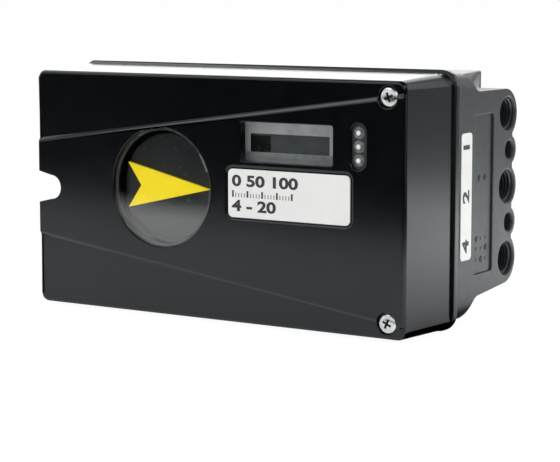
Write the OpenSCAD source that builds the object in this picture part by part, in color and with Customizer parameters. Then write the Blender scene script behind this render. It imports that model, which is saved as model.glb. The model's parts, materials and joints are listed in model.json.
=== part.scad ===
// Valve positioner: die-cast housing, screwed front cover with a travel indicator,
// feedback gearing, electronics and a spool valve behind threaded air ports.
// Millimetres. +Z up, the front faces -Y, the origin is on the spindle axis at the rear mounting face.

/* [Overall] */
// Depth from the raised front panel to the rear mounting face
depth = 88; // [85:0.5:96]

/* [Front cover] */
// Width of the cover
cover_w = 173.4; // [164:0.1:190]
// Height of the cover
cover_h = 96.2; // [94:0.1:100]
// Depth of the cover from its raised panel to the joint
cover_depth = 36.5; // [35:0.5:39]
// Distance from the spindle axis to the right edge of the cover
spindle_right = 110.4; // [108:0.1:116]
// Distance of the cover's middle below the spindle axis
cover_drop = 2.9; // [2:0.1:3.4]
// Wall thickness of the cover
cover_wall = 3; // [2.6:0.1:3.4]
// Corner radius of the cover seen from the front
cover_corner = 3.4; // [3.2:0.1:5]
// Rounding of the cover's front edges
cover_fillet = 1.5; // [1:0.1:1.6]
// How far the cover widens on each side from its front edges to the rim
cover_draft = 1; // [0.6:0.1:1.4]
// Height of the raised wedge panel above the front field
panel_rise = 0.8; // [0.4:0.1:1.2]
// Half height of the wedge panel at the left edge
panel_half_left = 18.5; // [16:0.5:24]
// Half height of the wedge panel at the right edge
panel_half_right = 42.2; // [40:0.1:44]
// Width of the sloped step along the wedge panel
panel_step = 1.5; // [1:0.1:3]
// How far the rear rim stands out from the cover's sides and top
rim_out = 2.4; // [1.5:0.1:3]
// How far the rear rim stands out below the cover
rim_low = 0.4; // [0.2:0.1:1]
// Thickness of the rear rim
rim_t = 4.5; // [3:0.5:6]
// Thickness of the lip along the rim's front
rim_lip = 1.8; // [1.4:0.1:3]
// Set-in of the rim behind its lip
rim_set_in = 1.2; // [0.8:0.1:1.6]
// Corner radius of the rear rim
rim_corner = 7; // [5:0.5:9]
// Radius of the screwdriver notch in the left edge
notch_r = 4.9; // [4.2:0.1:5]
// Height of the notch below the spindle axis
notch_drop = 2.9; // [0:0.1:4]
// Distance from the cover's left edge to the notch screw
notch_in = 7; // [6:0.1:8]
// Extra half height of the flared notch mouth
notch_flare = 1.9; // [1:0.1:3]
// Cover metal left under the notch
notch_floor = 7.5; // [6:0.5:10]

/* [Cover screws] */
// Shank radius of the cover screws
cover_screw_r = 2; // [1.5:0.1:2.4]
// Head radius of the cover screws
cover_head_r = 3.55; // [3.3:0.05:4]
// Head height of the cover screws
cover_head_h = 2.4; // [2:0.1:3]
// Distance from the cover's right edge to its screws
cover_screw_in = 7.5; // [6.5:0.1:9]
// Distance from the cover's top and bottom edges to its screws
cover_screw_edge = 6.1; // [5:0.1:7]
// Depth of the recess under the corner screws
head_sink = 1.6; // [1:0.1:2.4]
// Engagement of the cover screws in the flange
cover_screw_grip = 7.5; // [6:0.5:8]

/* [Windows and plates] */
// Radius of the opening for the travel indicator
dial_r = 23.9; // [22:0.1:24.2]
// Width of the ledge that the indicator window rests on
dial_ledge = 1.2; // [0.8:0.1:1.6]
// Thickness of the indicator window
dial_window_t = 1.8; // [1.4:0.1:2]
// Thickness of the seal under the indicator window
dial_seal_t = 0.4; // [0.3:0.1:0.6]
// Length of the collar that shrouds the indicator behind the front wall
dial_collar = 5.7; // [4:0.1:7]
// Width of the display opening
display_w = 41.4; // [36:0.1:42]
// Height of the display opening
display_h = 15.2; // [12:0.1:16]
// Distance from the right end of the display to the middle of the status lights
display_gap = 11.15; // [9:0.05:12]
// Middle of the display above the spindle axis
display_z = 20.15; // [20:0.05:22]
// Thickness of the display window
display_window_t = 1.6; // [1.2:0.1:1.8]
// Width of the status light opening
light_w = 6.6; // [6:0.1:7]
// Height of the status light opening
light_h = 17.5; // [16:0.1:18]
// Distance from the cover's right edge to the status lights
light_in = 19.7; // [19:0.1:22]
// Middle of the status lights above the spindle axis
light_z = 20.35; // [19:0.05:22]
// Width of the name plate
plate_w = 54.7; // [48:0.1:56]
// Height of the name plate
plate_h = 18.8; // [15:0.1:19]
// Thickness of the name plate
plate_t = 0.6; // [0.4:0.1:0.8]
// Middle of the name plate to the right of the spindle axis
plate_x = 59.85; // [59:0.05:62]
// Corner radius of the name plate
plate_corner = 2; // [1:0.1:3]
// Height of the port label on the right side
label_h = 49.2; // [40:0.1:52]
// Width of the port label
label_w = 8.8; // [7:0.1:9]
// Thickness of the port label
label_t = 0.3; // [0.2:0.1:0.5]
// Distance of the port label behind the flange's front face
label_in = 2.4; // [2:0.1:5]

/* [Housing] */
// Gap between cover and housing that the gasket fills
joint_gap = 0.5; // [0.3:0.1:0.8]
// Thickness of the housing flange
flange_t = 9.5; // [9:0.5:11]
// Set-in of the flange from the cover rim at the sides
flange_in = 0.8; // [0.6:0.1:1]
// How far the cover rim stands above the flange
flange_drop = 2.2; // [1.8:0.1:2.6]
// How far the cover rim hangs below the flange
rim_overhang = 4.2; // [3:0.1:4.6]
// Corner radius of the flange
flange_corner = 6; // [5:0.5:8]
// Half height of the rear box
box_half_h = 45.8; // [45:0.1:46.2]
// Wall thickness of the rear box above and below the cavity
box_wall = 4.8; // [4:0.1:5]
// Thickness of the rear wall up to the mounting face
rear_wall = 13; // [12.5:0.5:14]
// Set-in of the rear box from the flange's sides
box_in = 4.4; // [3.5:0.1:5]
// Draft of the rear box on its left side
box_draft_left = 4; // [2:0.1:5]
// Draft of the rear box on its right side
box_draft_right = 11.3; // [8:0.1:12]
// Rounding of the rear box at the back
box_corner = 4; // [2:0.5:6]
// Thickness of the housing's left wall at the flange
left_wall = 10.4; // [10:0.1:11]
// Radius of the columns round the cover screws
column_r = 7; // [6.8:0.1:7.4]

/* [Gasket] */
// Distance of the gasket from the flange's edge
gasket_in = 1.2; // [1:0.1:1.3]
// Width of the gasket
gasket_w = 2.6; // [2:0.1:2.8]
// Depth of the gasket's groove
groove_d = 1.3; // [1:0.1:2]
// Side clearance of the gasket in its groove
gasket_clear = 0.1; // [0.05:0.05:0.15]
// Radius of the hole in the gasket round a cover screw
gasket_screw_r = 3.4; // [3:0.1:3.6]

/* [Rear mounting] */
// Pitch circle of the mounting holes
mount_pcd = 50; // [48:1:54]
// Tapping radius of the mounting holes
mount_hole_r = 2.5; // [2.1:0.1:2.6]
// Depth of the mounting holes
mount_hole_d = 10; // [8:0.5:11]
// Radius of the round mounting pad
pad_r = 33; // [32:0.5:36]
// Height of the mounting pad over the rear wall
pad_rise = 3; // [2:0.5:3.5]

/* [Air ports] */
// Pitch of the air ports
port_pitch = 29; // [28:0.5:30]
// Bore radius of the air ports
port_r = 6.4; // [5.8:0.1:6.6]
// Depth of the air ports
port_depth = 14; // [12:0.5:15]
// Mouth radius of the air ports
port_mouth_r = 7; // [6.5:0.1:7.2]
// Distance of the air ports from the rear mounting face
port_back = 8.5; // [8.5:0.1:9]
// Radius of the bosses round the air ports
port_boss_r = 8.5; // [8:0.1:8.5]
// Bore radius of the screw holes between the ports
stud_r = 3.4; // [3:0.1:3.5]
// Mouth radius of the screw holes between the ports
stud_mouth_r = 4.1; // [3.8:0.1:4.3]
// Distance of those screw holes from the rear mounting face
stud_back = 6.4; // [6:0.1:7]
// Radius of the bosses round those screw holes
stud_boss_r = 6; // [5.5:0.1:6]
// Half height of the port block
block_half_h = 39.1; // [38:0.1:40]
// Distance of the block's lower edge below the spindle axis at its front end
block_low = 41.2; // [40:0.1:42]
// Width of the port block from its face to the cavity
block_w = 23; // [22:0.5:25]
// Set-in of the block's rear face between the bosses
valley = 3.7; // [3:0.1:5]
// Length of the slope from the flange down to the port block
gusset_run = 6.5; // [5:0.5:8]
// Radius of the drilled air galleries
gallery_r = 2.5; // [2:0.1:2.6]
// Height of the shallow panel in the port block's face
mark_h = 62.1; // [50:0.1:64]
// Width of the shallow panel
mark_w = 16.1; // [12:0.1:17]
// Depth of the shallow panel
mark_d = 0.8; // [0.4:0.1:1]
// Distance of the shallow panel's rear edge from the mounting face
mark_back = 21; // [20:0.1:22]

/* [Cable entries] */
// Bore radius of the cable entries
entry_r = 9.25; // [8:0.05:9.5]
// Boss radius of the cable entries
entry_boss_r = 13; // [12.5:0.1:13]
// Length of the cable entries
entry_depth = 14; // [12:0.5:15]
// Pitch of the cable entries
entry_pitch = 40; // [39:0.5:42]
// Distance of the cable entries behind the flange
entry_gap = 15.5; // [14:0.5:16]
// Set-in of the entry bosses from the flange's side
entry_in = 2.4; // [1.5:0.1:3]
// Thickness of the blanking plug's head
plug_head = 4; // [3:0.5:5]
// Thickness of the plug's seal
plug_seal_t = 1; // [0.8:0.1:1.4]

/* [Spindle] */
// Radius of the spindle in its bushes
spindle_r = 5; // [4.6:0.1:5.2]
// Radius of the spindle in front of its collar
nose_r = 4; // [3.4:0.1:4.2]
// Running clearance of the spindle in its bushes
run_clear = 0.05; // [0.02:0.01:0.1]
// Radius of the spindle's driving end
drive_r = 4.75; // [4:0.05:4.9]
// Length of the spindle behind the mounting face
spindle_out = 18; // [16:0.5:22]
// Length of the driving tongue
tongue_l = 6; // [5:0.5:8]
// Thickness of the driving tongue
tongue_t = 4; // [3:0.1:5]
// Radius of the spindle boss
spindle_boss_r = 14; // [13:0.5:15]
// Height of the spindle boss above the cavity floor
spindle_boss_h = 17; // [16:0.5:18]
// Outer radius of the bushes
bush_r = 8; // [7.5:0.1:8.5]
// Length of each bush
bush_l = 10; // [8:0.5:10]
// Thickness of the front bush's flange
bush_flange_t = 1.5; // [1:0.1:2]
// Thickness of the travel arrow
arrow_t = 1.5; // [1:0.1:2]
// Depth of the travel arrow behind the raised panel
arrow_in = 4; // [3.8:0.1:5]
// Radius of the indicator disc
disc_r = 21.3; // [19:0.1:21.5]
// Thickness of the indicator disc
disc_t = 2.5; // [2:0.1:3]

/* [Feedback gears] */
// Gear module
gear_m = 0.8; // [0.7:0.01:0.84]
// Teeth on the spindle gear
gear_teeth = 60; // [54:6:60]
// Teeth on the potentiometer pinion
pinion_teeth = 20; // [18:2:20]
// Thinning of each tooth flank for backlash
tooth_thin = 0.1; // [0.06:0.02:0.16]
// Thickness of the gears
gear_t = 4; // [3:0.5:5]
// Radius of the potentiometer's case
pot_r = 11; // [9:0.5:11]
// Length of the potentiometer's case
pot_l = 15; // [12:0.5:16]
// Radius of the potentiometer's shaft
pot_shaft_r = 3; // [2.5:0.1:3.2]

/* [Electronics] */
// Thickness of the circuit board
board_t = 1.6; // [1.2:0.1:2]
// Height of the board's pillars over the flange
pillar_h = 11.4; // [10:0.2:13]
// Left edge of the board to the right of the spindle axis
board_left = 28; // [27:0.5:29]
// Half height of the board
board_half_h = 40; // [39:0.5:40.5]
// Height of the inner cover above the board
inner_rise = 6; // [5:0.2:6.4]
// Thickness of the inner cover
inner_t = 2; // [1.6:0.1:2.4]
// Radius of the keys
key_r = 3.6; // [3:0.1:4]
// Clearance of the keys in the inner cover
key_clear = 0.2; // [0.1:0.05:0.3]
// Pitch of the keys
key_pitch = 10; // [9.6:0.1:10.4]
// Travel of the keys
key_travel = 0.6; // [0.4:0.1:0.8]
// Pitch of the terminals
terminal_pitch = 5.6; // [5:0.1:5.6]
// Number of terminals
terminals = 8; // [4:1:8]

/* [Air valve] */
// Width of the valve block
valve_w = 30; // [29:0.5:31]
// Depth of the valve block
valve_d = 26; // [24:0.5:28]
// Half length of the valve block
valve_half_l = 35; // [34:0.5:35]
// Thickness of the gasket under the valve block
valve_gasket_t = 1; // [0.6:0.1:1.4]
// Radius of the sleeve
sleeve_r = 7; // [6.5:0.1:7.4]
// Radius of the spool
spool_r = 4; // [3.5:0.1:4.2]
// Running clearance of the spool
spool_clear = 0.03; // [0.02:0.01:0.06]
// Half length of the spool
spool_half_l = 28; // [26:0.5:28]
// Travel of the spool each way
spool_travel = 1; // [0.5:0.1:1]

/* [Hidden] */
$fn = 64;
cut = 1;
fit = 0.05;
mount_fit = 0.02;
screw_clear = 0.2;
head_clear = 0.6;
plate_clear = 0.5;
window_clear = 0.15;
lens_lap = 2;
lens_corner = 1.5;
display_corner = 1;
lens_set_in = 0.4;
label_drop = 1;
label_corner = 1.7;
mark_drop = 1.15;
mark_corner = 1.2;
y_face = -depth;
y_skin = y_face + panel_rise;
y_inside = y_skin + cover_wall;
y_joint = y_face + cover_depth;
y_flange = y_joint + joint_gap;
y_flange_back = y_flange + flange_t;
y_floor = -rear_wall;
x_cover = [spindle_right - cover_w, spindle_right];
z_cover = [-cover_drop - cover_h / 2, -cover_drop + cover_h / 2];
x_back = [x_cover[0] - cover_draft, x_cover[1] + cover_draft];
z_back = [z_cover[0] - cover_draft, z_cover[1] + cover_draft];
x_rim = [x_back[0] - rim_out, x_back[1] + rim_out];
z_rim = [z_back[0] - rim_low, z_back[1] + rim_out];
y_rim = y_joint - rim_t;
x_flange = [x_rim[0] + flange_in, x_rim[1] - flange_in];
z_flange = [z_rim[0] + rim_overhang, z_rim[1] - flange_drop];
x_cavity = [x_flange[0] + left_wall, x_flange[1] - block_w];
cavity_half_h = box_half_h - box_wall;
cover_half_in = z_cover[1] - cover_wall;
corner_screws = [for (z = [z_cover[0] + cover_screw_edge, z_cover[1] - cover_screw_edge])
    [x_cover[1] - cover_screw_in, z]];
notch_screw = [x_cover[0] + notch_in, -notch_drop];
cover_screw_places = concat(corner_screws, [notch_screw]);
y_corner_seat = y_skin + head_sink;
y_notch_seat = y_joint - notch_floor;
y_dial_ledge = y_face + dial_window_t + dial_seal_t + fit;
light_x = x_cover[1] - light_in;
display_x = light_x - display_gap - display_w / 2;
panel_angle = atan((panel_half_right - panel_half_left) / cover_w);

ports_z = [-port_pitch, 0, port_pitch];
studs_z = [-port_pitch / 2, port_pitch / 2];
x_port_end = x_flange[1] - port_depth;
filter_t = 3;
filter_step = 2;
filter_r = port_r - filter_step - fit;
entries_z = [entry_pitch / 2, -entry_pitch / 2];
x_entry = x_flange[0] + entry_in;
y_entry = y_flange_back + entry_gap;
plug_set_in = 0.5;
plug_seal_in = 2;
vent_at = [48, -24];
vent_stem_r = 4;
vent_cap_r = 8;
vent_cap_h = 3.4;
earth_at = [-22, -39];
earth_boss_r = 5.5;
x_earth = x_flange[0] + 3;
earth_washer_t = 1.5;
earth_hole_r = 2.1;
earth_head_r = 3.8;
earth_head_h = 2.2;
earth_grip = 6;

y_boss = y_floor - spindle_boss_h;
y_thrust = y_boss - bush_flange_t;
collar_t = 2;
collar_r = 7.5;
collar_gap = 0.1;
bush_land = 1.5;
bush_flange_out = 3;
bush_set_in = 2;
y_bush_rear = -bush_set_in;
clip_t = 1;
clip_play = 0.1;
clip_groove_d = 0.7;
y_clip = y_bush_rear + clip_play;
set_screw_back = 3;
drive_step = 1;
y_collar = y_thrust - collar_gap - collar_t;
y_arrow = y_face + arrow_in;
arrow_tip = 20.8;
arrow_tail = 18.9;
arrow_notch = 12.5;
arrow_half_w = 9.1;
y_disc = y_arrow + arrow_t;
gear_hub_l = 10.5;
y_gear = y_collar - gear_hub_l;
gear_hub_r = 9;
pressure_angle = 20;
pinion_angle = -60;
centres = gear_m * (gear_teeth + pinion_teeth) / 2;
pot_at = centres * [cos(pinion_angle), sin(pinion_angle)];
pot_plate_lead = 1.5;
y_pot_plate = y_thrust - pot_plate_lead;
pot_plate_t = 2;
pot_neck_r = 4.5;
pot_neck_l = 4;
pot_wall = 3;
pot_nut_t = 2.5;
pot_nut_r = 7;
pot_screw_l = 8;
pot_ear_out = 6;
pot_ear = pot_r + pot_ear_out;
pot_ears = [for (s = [-1, 1]) pot_at + s * pot_ear * [-sin(pinion_angle), cos(pinion_angle)]];
small_tap_r = 1.5;
small_shank_r = 1.4;
small_pass_r = 1.7;
small_head_r = 2.8;
small_head_h = 2;
post_r = 4;

board_gap_right = 12.4;
board_right = x_cover[1] - board_gap_right;
board_column_gap = 1.2;
y_board = y_flange - pillar_h - board_t;
y_inner = y_board - inner_rise - inner_t;
board_post_in = 8;
board_post_z = 33;
pillar_stud_l = 6;
pillar_r = 3;
board_screw_grip = 7;
board_screw_places = [for (s = [-1, 1]) each
    [[board_left + board_post_in, s * (cavity_half_h - post_r)], [x_cavity[1] + 3, s * board_post_z]]];
lcd_t = 5;
lcd_margin = 2.4;
lcd_gap = 0.8;
lcd_corner = 1;
y_lcd = y_inside + display_window_t + lcd_gap;
key_in = 12;
keys_x = [for (i = [0:4]) board_left + key_in + i * key_pitch];
key_play = 0.1;
key_z = -2;
key_proud = 5;
switch_h = 3;
switch_w = 6;
terminal_in = 14;
terminal_x = board_left + terminal_in;
terminal_z = [-37, -21];
terminal_h = 11;
terminal_hole_r = 2.1;
terminal_hole_d = 4;
terminal_screw_z = terminal_z[1] - 5;
light_pitch = 5.15;
lights_z = [for (i = [-1:1]) light_z + i * light_pitch];
pipe_r = 1.6;
pipe_gap = 0.2;
led_h = 1.2;

valve_gap = 4;
x_valve = [x_cavity[1] - valve_gap - valve_w, x_cavity[1] - valve_gap];
y_valve = [y_floor - valve_gasket_t - valve_d, y_floor - valve_gasket_t];
spool_at = [x_valve[0] + valve_w / 2, y_valve[0] + valve_d / 2];
gallery_off = 5;
gallery_x = spool_at[0] + gallery_off;
cap_t = 4;
valve_screw_in = 3;
valve_screws = [for (x = [x_valve[0] + valve_screw_in, x_valve[1] - valve_screw_in], z = studs_z) [x, z]];
valve_screw_r = 2;
valve_head_r = 3.4;
valve_head_h = 2.4;
valve_screw_grip = 7;
cap_tap_in = 4;
cap_tap_x = valve_w / 2 - cap_tap_in;
cap_tap_d = 8;
sleeve_in = 3;
sleeve_half_l = valve_half_l - sleeve_in;
spring_r = 3;
spring_wire_r = 0.45;

// Solids along an axis and plain outlines
module along_y(y0, y1) {
    translate([0, y1, 0]) rotate([90, 0, 0]) linear_extrude(y1 - y0) children();
}

module along_x(x0, x1) {
    translate([x0, 0, 0]) rotate([90, 0, 90]) linear_extrude(x1 - x0) children();
}

module rod_y(r, y0, y1, at = [0, 0]) {
    translate([at[0], y1, at[1]]) rotate([90, 0, 0]) cylinder(r = r, h = y1 - y0);
}

module rod_x(r, x0, x1, at) {
    translate([x0, at[0], at[1]]) rotate([0, 90, 0]) cylinder(r = r, h = x1 - x0);
}

module rod_z(r, z0, z1, at) {
    translate([at[0], at[1], z0]) cylinder(r = r, h = z1 - z0);
}

module tube_y(r_out, r_in, y0, y1, at = [0, 0]) {
    difference() {
        rod_y(r_out, y0, y1, at);
        rod_y(r_in, y0 - cut, y1 + cut, at);
    }
}

module rect(x0, x1, z0, z1) {
    translate([x0, z0]) square([x1 - x0, z1 - z0]);
}

module round_rect(x0, x1, z0, z1, r) {
    rect(x0 + r, x1 - r, z0, z1);
    rect(x0, x1, z0 + r, z1 - r);
    for (x = [x0 + r, x1 - r], z = [z0 + r, z1 - r]) translate([x, z]) circle(r);
}

module plate_2d(x, z, w, h, r) {
    round_rect(x - w / 2, x + w / 2, z - h / 2, z + h / 2, r);
}

module discs(places, r) {
    for (p = places) translate(p) circle(r);
}

// Corner p between a and b, rounded by an arc of radius r
function unit(v) = v / norm(v);
function corner_arc(a, p, b, r) =
    let (u = unit(a - p), v = unit(b - p), half = acos(u * v) / 2)
    let (middle = p + unit(u + v) * r / sin(half), run = r / tan(half))
    r == 0 ? [p] : [for (i = [0:6]) middle + r * unit(p + u * run - middle + (v - u) * run * i / 6)];
function rounded(points, radii) = let (n = len(points))
    [for (i = [0:n - 1])
        each corner_arc(points[(i + n - 1) % n], points[i], points[(i + 1) % n], radii[i])];

// Block along Y with rounded corners and a rounded front edge, whose sides widen by draft to the back
module soft_block(xs, zs, corner, fillet, draft, y0, y1) {
    y_mid = y0 + fillet;
    inner_x = [xs[0] + corner, xs[1] - corner];
    inner_z = [zs[0] + corner, zs[1] - corner];
    along_y(y0, y_mid)
        round_rect(xs[0] + fillet, xs[1] - fillet, zs[0] + fillet, zs[1] - fillet, corner - fillet);
    for (z = [zs[0] + fillet, zs[1] - fillet]) rod_x(fillet, inner_x[0], inner_x[1], [y_mid, z]);
    for (x = [xs[0] + fillet, xs[1] - fillet]) rod_z(fillet, inner_z[0], inner_z[1], [x, y_mid]);
    for (x = inner_x, z = inner_z) {
        translate([x, y_mid, z]) rotate([90, 0, 0])
            rotate_extrude() translate([corner - fillet, 0]) circle(fillet);
        translate([x, y1, z]) rotate([90, 0, 0]) cylinder(r1 = corner + draft, r2 = corner, h = y1 - y_mid);
    }
    along_x(inner_x[0], inner_x[1])
        polygon([[y_mid, zs[0]], [y1, zs[0] - draft], [y1, zs[1] + draft], [y_mid, zs[1]]]);
    translate([0, 0, inner_z[0]]) linear_extrude(inner_z[1] - inner_z[0])
        polygon([[xs[0], y_mid], [xs[1], y_mid], [xs[1] + draft, y1], [xs[0] - draft, y1]]);
}

// Pan head screw along +Y, its seat at the origin
module pan_screw(head_r, head_h, shank_r, shank_l, turn = 0) {
    crown = head_h * 0.4;
    crown_r = (head_r * head_r + crown * crown) / (2 * crown);
    slot_l = head_r * 1.2;
    slot_w = head_r * 0.26;
    difference() {
        rotate([90, 0, 0]) rotate_extrude() intersection() {
            square([head_r, head_h]);
            translate([0, head_h - crown_r]) circle(crown_r, $fn = 128);
        }
        for (a = [turn, turn + 90]) rotate([0, a, 0])
            translate([-slot_l / 2, -head_h - cut, -slot_w / 2]) cube([slot_l, cut + head_h * 0.6, slot_w]);
    }
    rod_y(shank_r, -fit, shank_l);
}

// Involute gear outline
function involute(a) = tan(a) * 180 / PI - a;
function flank(teeth, r) = let (r_pitch = gear_m * teeth / 2, r_base = r_pitch * cos(pressure_angle))
    90 / teeth - tooth_thin / r_pitch * 180 / PI + involute(pressure_angle)
        - involute(acos(min(1, r_base / r)));
function polar(r, a) = r * [cos(a), sin(a)];
function gear_points(teeth) =
    let (r_pitch = gear_m * teeth / 2, r_root = r_pitch - 1.25 * gear_m, steps = 4)
    let (r_low = max(r_root, r_pitch * cos(pressure_angle)))
    let (radii = [for (i = [0:steps]) r_low + (r_pitch + gear_m - r_low) * i / steps])
    [for (k = [0:teeth - 1]) let (mid = k * 360 / teeth) each concat(
        [polar(r_root - fit, mid - flank(teeth, r_low))],
        [for (r = radii) polar(r, mid - flank(teeth, r))],
        [for (i = [0:steps]) let (r = radii[steps - i]) polar(r, mid + flank(teeth, r))],
        [polar(r_root - fit, mid + flank(teeth, r_low))])];

// Outlines that cover, gasket and housing share
module flange_2d(inset) {
    round_rect(x_flange[0] + inset, x_flange[1] - inset, z_flange[0] + inset, z_flange[1] - inset,
        flange_corner - inset);
}

module gasket_2d(clear) {
    difference() {
        flange_2d(gasket_in - clear);
        discs(cover_screw_places, gasket_screw_r - clear);
        difference() {
            flange_2d(gasket_in + gasket_w + clear);
            discs(cover_screw_places, gasket_screw_r + gasket_w + clear);
        }
    }
}

module notch_2d(grow) {
    mouth = x_rim[0] - cut;
    translate(notch_screw) circle(notch_r + grow);
    polygon([[notch_screw[0], notch_screw[1] - notch_r - grow],
        [notch_screw[0], notch_screw[1] + notch_r + grow],
        [x_cover[0], notch_screw[1] + notch_r + notch_flare + grow],
        [mouth, notch_screw[1] + notch_r + notch_flare + grow],
        [mouth, notch_screw[1] - notch_r - notch_flare - grow],
        [x_cover[0], notch_screw[1] - notch_r - notch_flare - grow]]);
}

// Cutter that slopes the upper edge of the wedge panel
module panel_edge() {
    lead = 2;
    translate([x_cover[0], 0, panel_half_left]) rotate([0, -panel_angle, 0])
        along_x(-cover_h, cover_w + cover_h)
            polygon([[y_face - lead, -lead * panel_step / panel_rise], [y_skin, panel_step],
                [y_skin, cover_h], [y_face - lead, cover_h]]);
}

module wedge_panel() {
    slope = tan(panel_angle);
    wide = panel_step / cos(panel_angle);
    left = x_cover[0] + cover_fillet;
    right = x_cover[1] - cover_fillet;
    half_left = panel_half_left + slope * cover_fillet + wide;
    half_right = min(panel_half_right + wide, cover_h / 2 - cover_fillet);
    translate([0, 0, -cover_drop]) difference() {
        along_y(y_face, y_skin + fit)
            polygon([[left, -half_left], [right, -half_right], [right, half_right], [left, half_left]]);
        panel_edge();
        mirror([0, 0, 1]) panel_edge();
    }
}

module rim_2d(inset) {
    round_rect(x_rim[0] + inset, x_rim[1] - inset, z_rim[0] + inset, z_rim[1] - inset, rim_corner - inset);
}

module front_cover() {
    color("#1b1e20") difference() {
        union() {
            soft_block(x_cover, z_cover, cover_corner, cover_fillet, cover_draft, y_skin, y_rim + fit);
            along_y(y_rim, y_rim + rim_lip) rim_2d(0);
            along_y(y_rim, y_joint) rim_2d(rim_set_in);
            wedge_panel();
        }
        difference() {
            along_y(y_inside, y_joint + cut) difference() {
                round_rect(x_cover[0] + cover_wall, x_cover[1] - cover_wall, -cover_half_in, cover_half_in,
                    cover_corner);
                discs(cover_screw_places, column_r);
                notch_2d(cover_wall - cut);
            }
            rod_y(dial_r + dial_ledge, y_inside - cut, y_inside + dial_collar);
        }
        along_y(y_face - cut, y_notch_seat) notch_2d(0);
        rod_y(dial_r, y_face - cut, y_dial_ledge);
        rod_y(dial_r - dial_ledge, y_face, y_inside + dial_collar + cut);
        along_y(y_face - cut, y_inside + cut) {
            plate_2d(display_x, display_z, display_w, display_h, display_corner);
            plate_2d(light_x, light_z, light_w, light_h, light_w / 2 - fit);
        }
        along_y(y_face - cut, y_face + plate_t)
            plate_2d(plate_x, 0, plate_w + 2 * plate_clear, plate_h + 2 * plate_clear,
                plate_corner + plate_clear);
        for (p = corner_screws) {
            rod_y(cover_head_r + head_clear, y_face - cut, y_corner_seat, p);
            rod_y(cover_screw_r + screw_clear, y_face, y_joint + cut, p);
        }
        rod_y(cover_screw_r + screw_clear, y_notch_seat - cut, y_joint + cut, notch_screw);
    }
}

module cover_gasket() {
    color("#101010") along_y(y_joint, y_flange + groove_d) gasket_2d(0);
}

module cover_screws() {
    turns = [33, 22, 10];
    seats = [y_corner_seat, y_corner_seat, y_notch_seat];
    color("#d8d8d6") for (i = [0:2])
        translate([cover_screw_places[i][0], seats[i], cover_screw_places[i][1]])
            pan_screw(cover_head_r, cover_head_h, cover_screw_r,
                y_flange + cover_screw_grip - seats[i], turns[i]);
}

module indicator_window() {
    edge = 0.4;
    r = dial_r - window_clear;
    color("#c8d0d4", 0.4) translate([0, y_dial_ledge - dial_seal_t, 0]) rotate([90, 0, 0])
        rotate_extrude() polygon([[0, 0], [r, 0], [r, dial_window_t - edge], [r - edge, dial_window_t],
            [0, dial_window_t]]);
}

module window_seal() {
    color("#141414")
        tube_y(dial_r - window_clear, dial_r - dial_ledge, y_dial_ledge - dial_seal_t, y_dial_ledge);
}

module display_window() {
    color("#c8d0d4", 0.4) along_y(y_inside, y_inside + display_window_t)
        plate_2d(display_x, display_z, display_w + 2 * lens_lap, display_h + 2 * lens_lap, lens_corner);
}

module light_window() {
    lap = 1.2;
    w = light_w - 2 * window_clear;
    h = light_h - 2 * window_clear;
    color("#b8bcbe", 0.5) {
        along_y(y_face + lens_set_in, y_inside + fit) plate_2d(light_x, light_z, w, h, w / 2 - fit);
        along_y(y_inside, y_inside + display_window_t)
            plate_2d(light_x, light_z, light_w + 2 * lap, light_h + 2 * lap, light_w / 2 + lap - fit);
    }
}

module name_plate() {
    color("#ececec") along_y(y_face, y_face + plate_t) plate_2d(plate_x, 0, plate_w, plate_h, plate_corner);
}

module port_label() {
    y_mid = y_flange + label_in + label_w / 2;
    color("#ececec") along_x(x_flange[1], x_flange[1] + label_t)
        plate_2d(y_mid, -label_drop, label_w, label_h, label_corner);
}

// Housing
module rear_box() {
    y_back = -pad_rise;
    intersection() {
        translate([0, 0, -box_half_h]) linear_extrude(2 * box_half_h) polygon(rounded(
            [[x_flange[0] + box_in, y_flange_back - cut], [x_flange[1] - box_in, y_flange_back - cut],
                [x_flange[1] - box_in - box_draft_right, y_back],
                [x_flange[0] + box_in + box_draft_left, y_back]],
            [0, 0, box_corner, box_corner]));
        along_x(x_flange[0], x_flange[1]) polygon(rounded(
            [[y_flange_back - 2 * cut, -box_half_h], [y_flange_back - 2 * cut, box_half_h],
                [y_back, box_half_h], [y_back, -box_half_h]],
            [0, 0, box_corner, box_corner]));
    }
}

module port_block() {
    lead = 4;
    crest_r = 2.5;
    root_r = 6;
    end_r = block_half_h - port_pitch;
    y_slope = y_flange_back + gusset_run;
    intersection() {
        along_x(x_cavity[1], x_flange[1]) {
            polygon(rounded(
                [[y_flange_back - lead, z_flange[0]], [y_flange_back, z_flange[0]],
                    [y_slope, -block_low], [-end_r, -block_half_h], [-valley, -port_pitch],
                    [-valley, port_pitch], [-end_r, block_half_h], [y_slope, block_half_h],
                    [y_flange_back, z_flange[1]], [y_flange_back - lead, z_flange[1]]],
                [0, crest_r, root_r, 0, 0, 0, 0, root_r, crest_r, 0]));
            discs([[-end_r, -port_pitch], [-end_r, port_pitch]], end_r);
            discs([for (z = ports_z) [-port_back, z]], port_boss_r);
            discs([for (z = studs_z) [-stud_back, z]], stud_boss_r);
        }
        along_y(y_flange, cut) flange_2d(0);
    }
}

module cavity_2d() {
    difference() {
        round_rect(x_cavity[0], x_cavity[1], -cavity_half_h, cavity_half_h, post_r);
        translate(notch_screw) circle(column_r);
        for (s = [-1, 1]) {
            x = board_screw_places[0][0];
            translate([x, s * (cavity_half_h - post_r)]) circle(post_r);
            translate([x, s * cavity_half_h]) square(2 * post_r, center = true);
        }
    }
}

// Bore along X with a chamfered mouth at x1
module port_bore(r, mouth_r, d, at) {
    x1 = x_flange[1];
    rod_x(r, x1 - d, x1 + cut, at);
    translate([x1 - (mouth_r - r), at[0], at[1]]) rotate([0, 90, 0])
        cylinder(r1 = r, r2 = mouth_r, h = mouth_r - r);
}

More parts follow.
